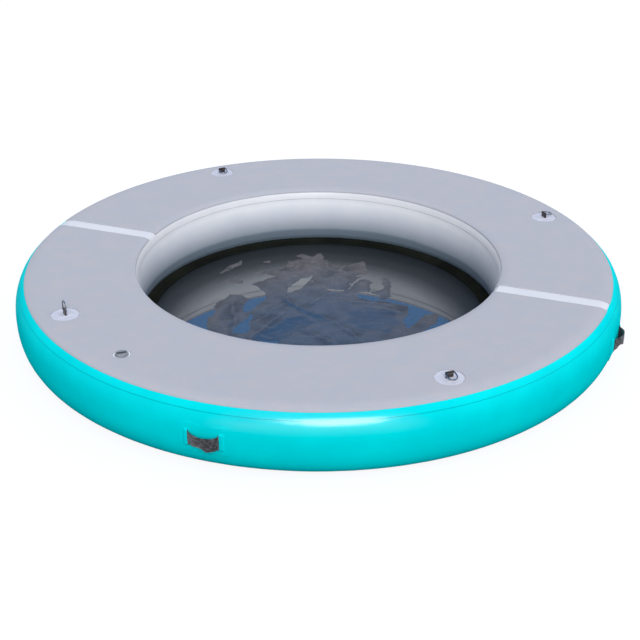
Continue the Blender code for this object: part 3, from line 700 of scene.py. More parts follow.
# %% [markdown]
# The deck is covered by two pads of closed-cell EVA foam, three millimetres thick and brushed to
# a dull nap. They are spun as one ring and cut apart along the pale strip. The cut-outs round
# the towing rings and the valve are made with turned cutters whose upper end flares, so each
# cut leaves a softly rounded lip, as the router leaves it on the real foam.

# %% Brushed foam
FOAM_CLOUD = 60 * MM
FOAM_NAP = 4 * MM
FOAM_GRAIN = 1.6 * MM


def brushed_foam():
    made, tree, shader = new_material("brushed_eva_foam", Roughness=0.92, IOR=1.45,
                                      Sheen_Weight=0.12, Sheen_Roughness=0.5)
    place = add_node(tree, "TexCoord").outputs["Object"]
    cloud = add_node(tree, "TexNoise", links={"Vector": place},
                     values={"Scale": 1 / FOAM_CLOUD, "Detail": 5, "Roughness": 0.6})
    drift = add_node(tree, "MapRange", values={"From Min": 0.36, "From Max": 0.64},
                     links={"Value": cloud})
    tone = add_node(tree, "Mix", data_type="RGBA", values={6: "#B4B6BE", 7: "#BAB7BC"},
                    links={0: drift})
    fleck = add_node(tree, "TexNoise", links={"Vector": place},
                     values={"Scale": 1 / FOAM_GRAIN, "Detail": 2, "Roughness": 0.7})
    speck = add_node(tree, "MapRange", values={"From Min": 0.3, "From Max": 0.7,
                                                         "To Min": 0.95, "To Max": 1.04},
                     links={"Value": fleck})
    colour = add_node(tree, "VectorMath", operation="SCALE", links={0: tone, "Scale": speck})
    feed(shader, Base_Color=colour)
    nap = add_node(tree, "TexNoise", links={"Vector": place},
                   values={"Scale": 1 / FOAM_NAP, "Detail": 5, "Roughness": 0.75})
    bump = add_node(tree, "Bump", values={"Strength": 0.5, "Distance": 0.35 * MM},
                    links={"Height": nap})
    feed(shader, Normal=bump)
    return made


foam = brushed_foam()
print(foam.name, "with", len(foam.node_tree.nodes), "nodes")

# %% [markdown]
# The towing rings and the valve stand on circles of their own. Where they stand is read from
# the engineering model, so the drawn pieces can't drift away from the parts that they stand
# for. The rings' leans are those in which they lie in the photograph.

# %% Places on the deck
RING_AZIMUTHS = [math.radians(a) for a in (42.8, 135.6, 228.4, 314.5)]
RING_LEANS = [math.radians(a) for a in (100, -105, 0, 107)]
PATCH_RADIUS = 0.043
low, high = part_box("d_ring_patch_1")
patch_middle = (low + high) / 2
RING_CIRCLE = math.hypot(patch_middle.x, patch_middle.y)
low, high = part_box("valve_nut")
VALVE_SPOT = ((low + high) / 2).to_2d()
print("ring circle", round(RING_CIRCLE, 4), "valve", [round(v, 4) for v in VALVE_SPOT])


def polar(radius, azimuth):
    return Vector((radius * math.cos(azimuth), radius * math.sin(azimuth)))


# %% [markdown]
# Each pad is one spun ring of foam less one joined cutter, which holds its round cut-outs and
# the half that belongs to the other pad. A spun ring keeps the pad's soft outer edges, and a
# boolean with turned cutters is quicker and cleaner than modelling around the holes. The foam
# is a firm sheet stuck flat, so it needs no cloth simulation: its thickness and its rounded
# edges are all its padding.

# %% Deck pads
PAD = 3.3 * MM                # its top above the skin
LIP = 1.2 * MM
LIP_STEPS = 5
PAD_ROUNDING = 6.5 * MM       # of the edges beside the tapes
PAD_STEP = 14 * MM
STRIP_WIDTH = 0.052
STRIP_SHIFT = 0.029           # towards the front
PATCH_CUTOUT = PATCH_RADIUS + 0.0015
VALVE_CUTOUT = 0.026
CUT_FACETS = 96


def lip_profile(edge):
    """From below the pad, up its cut wall and over a rounded lip, as (distance, height)."""
    top = DECK + PAD
    turn = [math.pi / 2 * i / LIP_STEPS for i in range(LIP_STEPS + 1)]
    lip = [(edge + LIP * (1 - math.cos(a)), top - LIP + LIP * math.sin(a)) for a in turn]
    return [(edge, DECK - PAD), *lip, (edge + LIP, top + PAD)]


def round_cutter(spot, radius):
    profile = lip_profile(radius)
    cutter = turned("round_cutter", [(0, DECK - PAD), *profile, (0, DECK + 2 * PAD)], CUT_FACETS)
    settle(cutter, Matrix.Translation((*spot, 0)))
    return cutter


def half_cutter(way):
    """Everything from the strip's edge to the far side, with the same rounded lip."""
    reach = 2.4 * OUTER_RADIUS
    outline = [(-reach, 0), (STRIP_WIDTH / 2, 0), *lip_profile(STRIP_WIDTH / 2),
               (-reach, DECK + 2 * PAD)]
    select_none()
    bpy.ops.mesh.primitive_circle_add(vertices=len(outline), radius=1, fill_type="NGON")
    cutter = named("half_cutter")
    for vertex, (y, z) in zip(cutter.data.vertices, outline):
        vertex.co = (-reach, way * y - STRIP_SHIFT, z)
    edit_all(cutter)
    bpy.ops.mesh.extrude_region_move(TRANSFORM_OT_translate={"value": (2 * reach, 0, 0)})
    bpy.ops.mesh.select_all(action="SELECT")
    bpy.ops.mesh.normals_make_consistent(inside=False)
    leave_edit()
    return cutter


pad_outline = layer_outline(deck_path(PAD_EDGE["inner"], PAD_EDGE["outer"]), 0, PAD, PAD_ROUNDING,
                            PAD_STEP)
cutouts = [(polar(RING_CIRCLE, azimuth), PATCH_CUTOUT) for azimuth in RING_AZIMUTHS]
cutouts.append((VALVE_SPOT, VALVE_CUTOUT))
for name, way in (("deck_pad_rear", 1), ("deck_pad_front", -1)):
    pad = turned(f"{name}_foam", pad_outline)
    cutters = [round_cutter(spot, radius) for spot, radius in cutouts if spot.y * way > 0]
    cutters.append(half_cutter(way))
    only(cutters[-1])
    for cutter in cutters:
        cutter.select_set(True)
    bpy.ops.object.join()
    cut_away(pad, bpy.context.active_object)
    hand_over(pad, foam, "grey_foam", replaces=[name], flat=True)
    print(pad.name, len(pad.data.polygons), "faces")

# %% [markdown]
# The valve goes through a round hole in the deck skin. Round it a disc of whiter fabric is
# welded on as a doubler, and the rim of that disc shows inside the cut-out of the pad. The disc
# is only a change of tone, found by the distance from the valve, since it is too thin to see.

# %% Hole for the valve in the deck skin
VALVE_HOLE = 0.0155
DOUBLER = 32 * MM             # radius of the welded disc
tree = deck_fabric.node_tree
shader = tree.nodes["Principled BSDF"]
base = shader.inputs["Base Color"].links[0].from_socket
place = add_node(tree, "TexCoord").outputs["Object"]
away = add_node(tree, "VectorMath", operation="DISTANCE",
                values={1: (*VALVE_SPOT, DECK)}, links={0: place})
welded = add_node(tree, "MapRange", links={"Value": away},
                  values={"From Min": DOUBLER - MM, "From Max": DOUBLER, "To Min": 1, "To Max": 0})
tone = add_node(tree, "Mix", data_type="RGBA", values={7: "#F1F1F4"}, links={0: welded, 6: base})
feed(shader, Base_Color=tone)
select_none()
bpy.ops.mesh.primitive_cylinder_add(vertices=CUT_FACETS, radius=VALVE_HOLE, depth=10 * SKIN,
                                    location=(*VALVE_SPOT, DECK))
cut_away(deck_skin, named("valve_hole"))
hand_over(deck_skin, deck_fabric, "white_pvc", replaces=["top_skin"], flat=True)
print("valve hole", round(2 * VALVE_HOLE, 4), "across")

# %% [markdown]
# Each towing ring hangs in a tab of webbing. The tab comes up through a slit in a round patch,
# which is welded to the deck over the tab's two spread ends. So the patch is a turned disc
# with a soft rim, pushed up where the ends lie under it. The webbing is a grid laid along a
# smooth line and thickened; laying a grid keeps its UV map, on which the weave is drawn.

# %% Soft shapes
def ease(share):
    share = max(0.0, min(1.0, share))
    return share * share * (3 - 2 * share)


def plateau(x, y, half_x, half_y, ramp):
    """1 over a rectangle, easing to 0 over a ramp round it."""
    outside = math.hypot(max(0.0, abs(x) - half_x), max(0.0, abs(y) - half_y))
    return 1 - ease(outside / ramp)


def smooth_line(points, per_span):
    """A Catmull-Rom line through points."""
    points = [Vector(p) for p in points]
    ends = [2 * points[0] - points[1], *points, 2 * points[-1] - points[-2]]
    line = []
    for a, b, c, d in zip(ends, ends[1:], ends[2:], ends[3:]):
        for i in range(per_span):
            t = i / per_span
            line.append((2 * b + (c - a) * t + (2 * a - 5 * b + 4 * c - d) * t ** 2
                         + (3 * b - a - 3 * c + d) * t ** 3) / 2)
    return line + [points[-1]]


def laid_grid(name, columns, rows, lay):
    """A grid whose points go where lay(column share, row share) says, with its UV map."""
    select_none()
    bpy.ops.mesh.primitive_grid_add(x_subdivisions=columns, y_subdivisions=rows, size=1)
    grid = named(name)
    for vertex in grid.data.vertices:
        vertex.co = lay(vertex.co.x + 0.5, vertex.co.y + 0.5)
    return grid


def thickened(piece, thickness, offset, rounding):
    apply_modifier(piece, "SOLIDIFY", thickness=thickness, offset=offset, use_even_offset=True)
    apply_modifier(piece, "BEVEL", width=rounding, segments=2, limit_method="ANGLE",
                   angle_limit=math.radians(50))
    edit_all(piece)
    bpy.ops.mesh.normals_make_consistent(inside=False)
    leave_edit()


# %% [markdown]
# The straps and tabs are woven from polypropylene cord in a twill, which gives the eye fine
# slanting ribs and a dull gloss along them. Their dark cord is drawn with paler streaks that
# follow the weave, a painted sheen, and that is most of what the photograph shows of it. The
# rings are bent from polished stainless wire; faint hairlines keep their reflections from
# being perfect mirrors. Cords of a millimetre wouldn't show, so they are drawn at three.

# %% Webbing and steel
SHEEN_STREAK = 6 * MM               # width of the patches of painted sheen


def webbing(name, pale, dark, width, length):
    """Woven polypropylene: cords lie across the strap in a twill, and a painted sheen shows paler.
    """
    made, tree, shader = new_material(name, Roughness=0.62, IOR=1.49, Sheen_Weight=0.25,
                                      Sheen_Roughness=0.4)
    coords = add_node(tree, "TexCoord")
    flat = add_node(tree, "VectorMath", operation="MULTIPLY",
                    values={1: (width / WEAVE, length / WEAVE, 0)}, links={0: coords.outputs["UV"]})
    parts = add_node(tree, "SeparateXYZ", links={0: flat})
    across = add_node(tree, "Math", operation="MULTIPLY", values={1: TWO_PI},
                      links={0: parts.outputs["X"]})
    skew = add_node(tree, "Math", operation="MULTIPLY_ADD", values={1: 2 * TWO_PI},
                    links={0: parts.outputs["Y"], 2: across})
    cord = add_node(tree, "Math", operation="SINE", links={0: skew})
    column = add_node(tree, "Math", operation="SINE", links={0: across})
    weave = add_node(tree, "Math", operation="MULTIPLY_ADD", values={1: 0.6},
                     links={0: column, 2: cord})
    sheen_streak_place = add_node(tree, "VectorMath", operation="MULTIPLY",
                      values={1: (width / SHEEN_STREAK, length / (1.6 * SHEEN_STREAK), 0)},
                      links={0: coords.outputs["UV"]})
    painted_sheen = add_node(tree, "TexNoise", links={"Vector": sheen_streak_place},
                    values={"Scale": 1, "Detail": 4, "Roughness": 0.65})
    share = add_node(tree, "MapRange", values={"From Min": 0.46, "From Max": 0.68},
                     links={"Value": painted_sheen})
    colour = add_node(tree, "Mix", data_type="RGBA",
                      values={6: hex_colour(dark), 7: hex_colour(pale)}, links={0: share})
    feed(shader, Base_Color=colour)
    bump = add_node(tree, "Bump", values={"Strength": 0.7, "Distance": 0.25 * MM},
                    links={"Height": weave})
    feed(shader, Normal=bump)
    return made


def polished_metal(name, colour, roughness):
    """Polished wire: faint hairlines vary how sharp its reflections are."""
    made, tree, shader = new_material(name, Metallic=1.0, Roughness=roughness)
    shader.inputs["Base Color"].default_value = hex_colour(colour)
    place = add_node(tree, "TexCoord")
    hair = add_node(tree, "TexNoise", links={"Vector": place.outputs["Object"]},
                    values={"Scale": 1 / (1.2 * MM), "Detail": 3, "Roughness": 0.6})
    gloss = add_node(tree, "MapRange", links={"Value": hair},
                     values={"From Min": 0.3, "From Max": 0.7, "To Min": roughness - 0.05,
                             "To Max": roughness + 0.08})
    feed(shader, Roughness=gloss)
    return made


stainless = polished_metal("polished_stainless_steel", "#8A8B8D", 0.12)
spring_wire = polished_metal("spring_wire", "#A9A9AC", 0.26)
print("metals", stainless.name, spring_wire.name)

# %% [markdown]
# The round patch is a turned disc with a soft rim. It is pushed up a little over the two ends
# of the strap that lies under it, and a slit is cut for the strap to come up through.

# %% Patches of the towing rings
PATCH = 1.4 * MM
PATCH_RIM = ((0.7, 1.0), (0.2, 0.8), (0.0, 0.4), (0.1, 0.0))  # mm in from the edge, share of PATCH
PATCH_CIRCLES = 32
PATCH_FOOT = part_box("d_ring_patch_1")[0].z
POCKET_RISE = 2.0 * MM
POCKET_RAMP = 4 * MM
TAB_WIDTH = 25 * MM
TAB_FLAP = 21 * MM            # half of what the strap's two ends take up under the patch
SLIT = 6.4 * MM
SLIT_ROOM = 0.6 * MM          # at each edge of the strap


def ring_placing(index):
    azimuth = RING_AZIMUTHS[index]
    return (Matrix.Translation((*polar(RING_CIRCLE, azimuth), PATCH_FOOT))
            @ Matrix.Rotation(azimuth + math.pi / 2, 4, "Z"))


def towing_patch(index):
    radii = [PATCH_RADIUS * i / PATCH_CIRCLES for i in range(PATCH_CIRCLES)]
    rim = [(PATCH_RADIUS - inset * MM, share * PATCH) for inset, share in PATCH_RIM]
    outline = [(r, PATCH) for r in radii] + rim + [(r, 0) for r in reversed(radii)]
    patch = turned(f"towing_patch_{index + 1}", outline, 96)
    for vertex in patch.data.vertices:
        x, y, _ = vertex.co
        raised = plateau(x, y, TAB_WIDTH / 2 + SLIT_ROOM, TAB_FLAP, POCKET_RAMP)
        vertex.co.z += POCKET_RISE * raised
    select_none()
    bpy.ops.mesh.primitive_cube_add(size=1)
    slit = named("slit")
    slit.data.transform(Matrix.Diagonal((TAB_WIDTH + 2 * SLIT_ROOM, SLIT, 0.05, 1)))
    cut_away(patch, slit)
    settle(patch, ring_placing(index))
    return patch


for i in range(len(RING_AZIMUTHS)):
    hand_over(towing_patch(i), patch_fabric, "white_pvc", replaces=[f"d_ring_patch_{i + 1}"],
              flat=True)
print("patches", len(RING_AZIMUTHS))

# %% [markdown]
# A towing ring is a wire bent to a D, so it is drawn as one closed line with a round bevel, as
# a bender would lay it out: a straight bar, two corners and a bow. Its tab is a strap that
# lies flat under the patch, comes up through the slit, goes round the bar and back again.

# %% Tabs and rings
TAB_WEBBING = 1.5 * MM
TAB_LEG = ((21, 0.75), (9, 0.75), (3.8, 0.8), (2.0, 2.0),   # mm from the middle, mm of height
           (1.15, 4.2), (1.1, 8.4), (1.3, 12.6))
BAR_ROOM = 0.5 * MM           # between the bar and the tab round it
BAR_HEIGHT = 18 * MM
WIRE_RADIUS = 2 * MM
RING_SIZE = 30 * MM
RING_CORNER = 3 * MM
CORNER_STEPS = 6
BOW_STEPS = 40
# the tab's pale brown streaks are a painted sheen on its dark cord
tab_webbing = webbing("tab_webbing", "#5B4235", "#130F0D", TAB_WIDTH, 80 * MM)


def webbing_tab(index):
    loop = WIRE_RADIUS + BAR_ROOM + TAB_WEBBING / 2
    up = [(x * MM, z * MM) for x, z in TAB_LEG]
    turns = [math.radians(-50 + 28 * i) for i in range(11)]
    round_bar = [(loop * math.cos(a), BAR_HEIGHT + loop * math.sin(a)) for a in turns]
    line = smooth_line(up + round_bar + [(-x, z) for x, z in reversed(up)], 5)
    last = len(line) - 1

    def lay(u, v):
        point = line[round(v * last)]
        return (u - 0.5) * TAB_WIDTH, point.x, point.y

    tab = laid_grid(f"webbing_tab_{index + 1}", 6, last, lay)
    thickened(tab, TAB_WEBBING, 0, 0.4 * MM)
    settle(tab, ring_placing(index))
    return tab


def towing_ring(index):
    half = RING_SIZE / 2
    quarter = [math.pi / 2 * i / CORNER_STEPS for i in range(CORNER_STEPS + 1)]
    corner = [(half - RING_CORNER + RING_CORNER * math.sin(a), RING_CORNER * (1 - math.cos(a)))
              for a in quarter]
    turns = [math.pi * i / BOW_STEPS for i in range(BOW_STEPS + 1)]
    bow = [(half * math.cos(a), half + half * math.sin(a)) for a in turns]
    points = corner + bow + [(-x, z) for x, z in reversed(corner)]
    line = bpy.data.curves.new("ring_line", "CURVE")
    line.dimensions = "3D"
    line.bevel_depth = WIRE_RADIUS
    line.bevel_resolution = 7
    spline = line.splines.new("POLY")
    spline.points.add(len(points) - 1)
    for point, (x, z) in zip(spline.points, points):
        point.co = (x, 0, z, 1)
    spline.use_cyclic_u = True
    ring = bpy.data.objects.new(f"towing_ring_{index + 1}", line)
    bpy.context.scene.collection.objects.link(ring)
    only(ring)
    bpy.ops.object.convert(target="MESH")
    ring = named(f"towing_ring_{index + 1}")
    lean = Matrix.Rotation(RING_LEANS[index], 4, "X")
    settle(ring, ring_placing(index) @ Matrix.Translation((0, 0, BAR_HEIGHT)) @ lean)
    return ring


for i in range(len(RING_AZIMUTHS)):
    n = i + 1
    hand_over(webbing_tab(i), tab_webbing, "black_webbing", replaces=[f"d_ring_webbing_{n}"])
    hand_over(towing_ring(i), stainless, "stainless_steel", f"d_ring_{n}", [f"d_ring_{n}"])
print("towing rings", len(RING_AZIMUTHS))

# %% [markdown]
# The carry handles are loops of wide webbing held by welded patches. All of it follows the
# swollen wall, so places are given as a distance round the wall, a height and a lift off it.
# The loop has been gripped and hauled on, so it is a little gathered in the middle, and its
# lower corner at one end is folded in along a slanting line.

# %% Straps of the carry handles
HANDLE_AZIMUTHS = [math.radians(a) for a in (357.4, 90, 180, 272)]
STRAP_BOWS = [b * MM for b in (21, 28, 28, 25)]   # how far each loop stands off
STRAP_WIDTH = 44 * MM
STRAP = 2.5 * MM
STRAP_HALF = 44 * MM          # half of the loop's span
STRAP_LEAN = 7 * MM           # the fullest part of the bow lies off its middle
STRAP_END = STRAP_HALF + 11 * MM
STRAP_FOOT = ((8, 0), (4.5, 0), (1.2, 1.2), (0, 4.5))   # mm past the loop, mm of lift
BOW_DEGREES = (153, 135, 112, 90, 68, 45, 27)
BOW_POWER = 1.35              # makes the bow's ends rise gently
HANDLE_PATCH = 0.9 * MM
CLEAR = 0.3 * MM
STRAP_LIFT = CLEAR + HANDLE_PATCH + CLEAR
FOLD_START = -34 * MM         # where along the loop the folded corner begins
FOLD_SPAN = 50 * MM
FOLD_TOP = -4 * MM            # height of the fold's line at its start
FOLD_FALL = 18 * MM           # how far that line falls
FOLD_SLOPES = (0.25, 0.45)    # slope at the start, and what it gains towards the end
FOLD_DEEPEST = 0.6            # share of the bow's lift that a fold may take
GATHER = 0.12                 # share of its width that a free loop gathers
FREE_LIFT = 10 * MM           # lift where the loop is quite free of the wall
# the strap's pale grey streaks are a painted sheen on its black cord
strap_webbing = webbing("strap_webbing", "#6A686E", "#0A0B0E", STRAP_WIDTH, 150 * MM)


def on_wall(middle, along, height, lift):
    point, normal = slice_point("outer", angle_at_height(MIDDLE + height))
    radius = point.x + normal.x * lift
    azimuth = middle + along / OUTER_RADIUS
    return radius * math.cos(azimuth), radius * math.sin(azimuth), point.y + normal.y * lift


def pinch(along, height):
    """How far a place on the hauled strap is folded in (lift) and gathered up (height)."""
    share = min(1.0, max(0.0, (along - FOLD_START) / FOLD_SPAN))
    below = max(0.0, FOLD_TOP - FOLD_FALL * share ** 4 - height)
    turn = math.atan(FOLD_SLOPES[0] + FOLD_SLOPES[1] * ease(share / 0.6))
    return -below * math.sin(turn), below * (1 - math.cos(turn)) - GATHER * height


def strap(index, middle):
    centre = STRAP_LIFT + STRAP / 2
    bow = [(STRAP_HALF * math.cos(a) + STRAP_LEAN * math.sin(a),
            centre + STRAP_BOWS[index] * math.sin(a) ** BOW_POWER)
           for a in [math.radians(d) for d in BOW_DEGREES]]
    left = [(-STRAP_END, centre),
            *[(-STRAP_HALF - out * MM, centre + lift * MM) for out, lift in STRAP_FOOT]]
    line = smooth_line(left + bow + [(-x, lift) for x, lift in reversed(left)], 6)
    last = len(line) - 1

    def lay(u, v):
        point = line[round(v * last)]
        height = (u - 0.5) * STRAP_WIDTH
        push, gather = pinch(point.x, height)
        free = ease((point.y - centre) / FREE_LIFT)
        push = max(free * push, -FOLD_DEEPEST * max(0.0, point.y - centre))
        return on_wall(middle, point.x, height + free * gather, point.y + push)

    piece = laid_grid(f"strap_{index + 1}", 24, last, lay)
    thickened(piece, STRAP, 0, 0.6 * MM)
    return piece


for i, middle in enumerate(HANDLE_AZIMUTHS):
    hand_over(strap(i, middle), strap_webbing, "black_webbing",
              replaces=[f"handle_webbing_{i + 1}"])
print("straps", len(HANDLE_AZIMUTHS))

# %% [markdown]
# Each end of a strap has a base patch under it and a cover patch over it. Both are sheets with
# quarter circles for corners, laid on the wall. The cover swells where the end of the strap
# lies inside it, and ends at the slot where the strap comes out.

# %% Patches of the carry handles
PATCH_WIDTH = 62 * MM
PATCH_HEIGHT = 91 * MM
PATCH_CORNER = 11 * MM
PATCH_EDGE = 0.35 * MM        # rounding of its cut edge
SLOT_PLACE = STRAP_HALF + 2.5 * MM
COVER_RAMP = 7 * MM
POCKET_LIFT = STRAP + 2 * CLEAR


def rounded_share(u, v, width, height, corner):
    """Pull the corner squares of a sheet in to quarter circles."""
    x, y = (u - 0.5) * width, (v - 0.5) * height
    past_x, past_y = abs(x) - (width / 2 - corner), abs(y) - (height / 2 - corner)
    if past_x > 0 and past_y > 0:
        pull = max(past_x, past_y) / math.hypot(past_x, past_y)
        x = math.copysign(width / 2 - corner + past_x * pull, x)
        y = math.copysign(height / 2 - corner + past_y * pull, y)
    return x, y


def base_patch(index, middle, end, way):
    def lay(u, v):
        x, y = rounded_share(u, v, PATCH_WIDTH, PATCH_HEIGHT, PATCH_CORNER)
        return on_wall(middle, way * STRAP_HALF + x, y, CLEAR + HANDLE_PATCH)

    piece = laid_grid(f"base_patch_{index + 1}_{end}", 24, 36, lay)
    thickened(piece, HANDLE_PATCH, -1, PATCH_EDGE)
    return piece


def cover_patch(index, middle, end, way):
    width = 2 * (STRAP_HALF + PATCH_WIDTH / 2 - SLOT_PLACE)

    def lay(u, v):
        x, y = rounded_share(0.5 + u / 2, v, width, PATCH_HEIGHT, PATCH_CORNER)
        raised = plateau(x + SLOT_PLACE, y, STRAP_END + CLEAR, STRAP_WIDTH / 2 + CLEAR,
                         COVER_RAMP)
        lift = STRAP_LIFT + HANDLE_PATCH + POCKET_LIFT * raised
        return on_wall(middle, way * (SLOT_PLACE + x), y, lift)

    piece = laid_grid(f"cover_patch_{index + 1}_{end}", 24, 64, lay)
    if way < 0:
        edit_all(piece)
        bpy.ops.mesh.flip_normals()
        leave_edit()
    thickened(piece, HANDLE_PATCH, -1, PATCH_EDGE)
    return piece


for i, middle in enumerate(HANDLE_AZIMUTHS):
    n = i + 1
    for end, way in (("right", -1), ("left", 1)):
        hand_over(base_patch(i, middle, end, way), teal_fabric, "teal_pvc",
                  replaces=[f"handle_base_{n}_{end}"])
        hand_over(cover_patch(i, middle, end, way), teal_fabric, "teal_pvc",
                  replaces=[f"handle_cover_{n}_{end}"])
print("handle patches", 4 * len(HANDLE_AZIMUTHS))

# %% [markdown]
# The valve is moulded in glass-filled nylon, which comes out of its mould a dull dark grey and
# wears paler. Every part of it is turned, as on the real valve, and only the cap's finger grip
# is a bevelled bar joined to it. The parts inside the chamber aren't seen, so the engineering
# model's own shapes stay, with a finish of their own.

# %% Moulded parts
def moulded(name, pale, dark, roughness):
    """Moulded plastic or rubber: fine spark-eroded grain, and handling marks in its tone."""
    made, tree, shader = new_material(name, Roughness=roughness, IOR=1.5)
    place = add_node(tree, "TexCoord")
    cloud = add_node(tree, "TexNoise", links={"Vector": place.outputs["Object"]},
                     values={"Scale": 1 / (11 * MM), "Detail": 4, "Roughness": 0.65})
    share = add_node(tree, "MapRange", values={"From Min": 0.38, "From Max": 0.62},
                     links={"Value": cloud})
    colour = add_node(tree, "Mix", data_type="RGBA",
                      values={6: hex_colour(dark), 7: hex_colour(pale)}, links={0: share})
    feed(shader, Base_Color=colour)
    grain = add_node(tree, "TexNoise", links={"Vector": place.outputs["Object"]},
                     values={"Scale": 1 / (0.8 * MM), "Detail": 2, "Roughness": 0.5})
    bump = add_node(tree, "Bump", values={"Strength": 0.25, "Distance": 0.08 * MM},
                    links={"Height": grain})
    feed(shader, Normal=bump)
    return made


nylon = moulded("moulded_grey_nylon", "#A3A6A9", "#7E8285", 0.34)
rubber = moulded("moulded_black_rubber", "#26272A", "#1A1B1D", 0.7)
print("moulded finishes", nylon.name, rubber.name)

# %% [markdown]
# The outlines are those of the moulded parts in millimetres, as (radius, height) from the foot
# of the flange. The housing has a web with four air windows, which are drilled out of it
# between its hub and its wall.

# %% Valve housing
FLANGE_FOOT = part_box("valve_gasket")[1].z + CLEAR
HOUSING_FACETS = 96
HUB, BORE = 2.8, 12.0         # radii of the web's hub and of the bore, in mm
WEB_BELOW, WEB_ABOVE = -18.5, -16.0
AIR_WINDOWS = 4
WINDOW_RADIUS = 2.8 * MM
low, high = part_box("valve_spring")
print("valve stands at", round(FLANGE_FOOT, 4), "spring", round(low.z, 4), round(high.z, 4))


def at_valve(piece):
    settle(piece, Matrix.Translation((*VALVE_SPOT, FLANGE_FOOT)))
    return piece


def millimetres(*outline):
    return [(x * MM, z * MM) for x, z in outline]


body = turned("valve_housing", millimetres(
    (BORE, 1.6), (12.4, 2.0), (19.4, 2.0), (20.0, 1.85), (20.4, 1.5), (20.5, 1.0), (20.5, 0.0),
    (15.0, 0.0), (15.0, -32.0), (9.0, -32.0), (9.0, -30.0), (BORE, -28.0), (BORE, WEB_BELOW),
    (HUB, WEB_BELOW), (HUB, WEB_ABOVE), (BORE, WEB_ABOVE)), HOUSING_FACETS)
for i in range(AIR_WINDOWS):
    select_none()
    x, y = polar((HUB + BORE) / 2 * MM, (i + 0.5) * TWO_PI / AIR_WINDOWS)
    bpy.ops.mesh.primitive_cylinder_add(vertices=24, radius=WINDOW_RADIUS, depth=8 * MM,
                                        location=(x, y, -17 * MM))
    cut_away(body, named("air_window"))
hand_over(at_valve(body), nylon, "dark_plastic", replaces=["valve_body"], flat=True)

gasket = turned("valve_gasket_ring", millimetres(
    (15.5, -1.3), (19.3, -1.3), (19.5, -1.1), (19.5, -0.5), (19.3, -0.3), (15.5, -0.3)),
    HOUSING_FACETS)
hand_over(at_valve(gasket), rubber, "black_rubber", replaces=["valve_gasket"])

# %% [markdown]
# The cap is turned as well, and its finger grip is a bevelled bar joined to it. The grip is
# darker than the rest of the cap: its finish is the housing's, darkened above a height.

# %% Valve cap
CAP_TURN = math.radians(35)
GRIP = (30 * MM, 4.5 * MM, 3.4 * MM)
GRIP_SINK = 0.8 * MM          # how far the bar reaches into the cap
GRIP_MIDDLE = 5.2 * MM
GRIP_ROUNDING = 1.3 * MM
GRIP_DARKENING = (4.3 * MM, 5.2 * MM)  # heights where the darkening starts and where it is full
SEAL_RADIUS = 11 * MM
SEAL_HALF = (0.65 * MM, 0.6 * MM)   # half of its section, across and up
SEAL_HEIGHT = 0.3 * MM
SEAL_STEPS = 12

cap = turned("valve_cap_moulding", millimetres(
    (0, 3.5), (14.6, 3.5), (15.2, 3.6), (15.7, 4.05), (16.2, 4.25), (17.4, 4.25), (18.1, 4.0),
    (18.45, 3.5), (18.5, 2.8), (18.4, 2.3), (11.4, 2.3), (11.4, 1.1), (10.6, 1.1), (10.6, -0.5),
    (11.4, -0.5), (11.4, -2.4), (11.1, -2.7), (9.2, -2.7), (8.9, -2.4), (8.9, 2.0), (0, 2.0)),
    HOUSING_FACETS)
select_none()
bpy.ops.mesh.primitive_cube_add(size=1)
grip = named("grip")
grip.data.transform(Matrix.Rotation(CAP_TURN, 4, "Z") @ Matrix.Translation((0, 0, GRIP_MIDDLE))
                    @ Matrix.Diagonal((*GRIP[:2], GRIP[2] + GRIP_SINK, 1)))
apply_modifier(grip, "BEVEL", width=GRIP_ROUNDING, segments=4, limit_method="ANGLE")
apply_modifier(cap, "BOOLEAN", object=grip, operation="UNION", solver="EXACT")
bpy.data.objects.remove(grip)
grip_darkened_nylon, tree, shader, base, _, z = varied(nylon, "grip_darkened_grey_nylon")
grip_darkening = add_node(tree, "MapRange", links={"Value": z},
                 values={"From Min": FLANGE_FOOT + GRIP_DARKENING[0], "From Max": FLANGE_FOOT + GRIP_DARKENING[1]})
tone = add_node(tree, "Mix", data_type="RGBA", values={7: "#232426"}, links={0: grip_darkening, 6: base})
feed(shader, Base_Color=tone)
hand_over(at_valve(cap), grip_darkened_nylon, "dark_plastic", "cap", ["valve_cap"], flat=True)

seal_turns = [TWO_PI * i / SEAL_STEPS for i in range(SEAL_STEPS)]
seal_outline = [(SEAL_RADIUS + SEAL_HALF[0] * math.cos(a), SEAL_HEIGHT + SEAL_HALF[1] * math.sin(a))
                for a in seal_turns]
seal = turned("cap_seal_ring", seal_outline, 64)
hand_over(at_valve(seal), rubber, "black_rubber", "cap", ["cap_seal"])
print("cap turned by", round(math.degrees(CAP_TURN)), "degrees")

# %% [markdown]
# The parts that the chamber hides keep the engineering model's shapes. They still get the
# finish of what they are made of: moulded nylon, rubber, drawn spring wire, and the spun
# polyester of the drop-stitch yarns, whose strands give it a slightly mottled cream tone.

# %% Finishes of the parts inside
INSIDE = {"valve_nut": nylon, "valve_pin": nylon, "valve_poppet": rubber,
          "valve_spring": spring_wire}
yarn, tree, shader = new_material("polyester_yarn_cloth", Roughness=0.8, IOR=1.5, Sheen_Weight=0.2)
place = add_node(tree, "TexCoord")
strands = add_node(tree, "TexNoise", links={"Vector": place.outputs["Object"]},
                   values={"Scale": 1 / (2 * MM), "Detail": 3})
tone = add_node(tree, "Mix", data_type="RGBA", links={0: strands},
                values={6: "#D9D6CC", 7: "#F0EEE6"})
feed(shader, Base_Color=tone)
INSIDE["drop_stitch_core"] = yarn
for name, finish in INSIDE.items():
    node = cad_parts[name]
    node.data.materials.clear()
    node.data.materials.append(finish)
print("finished inside", list(INSIDE))

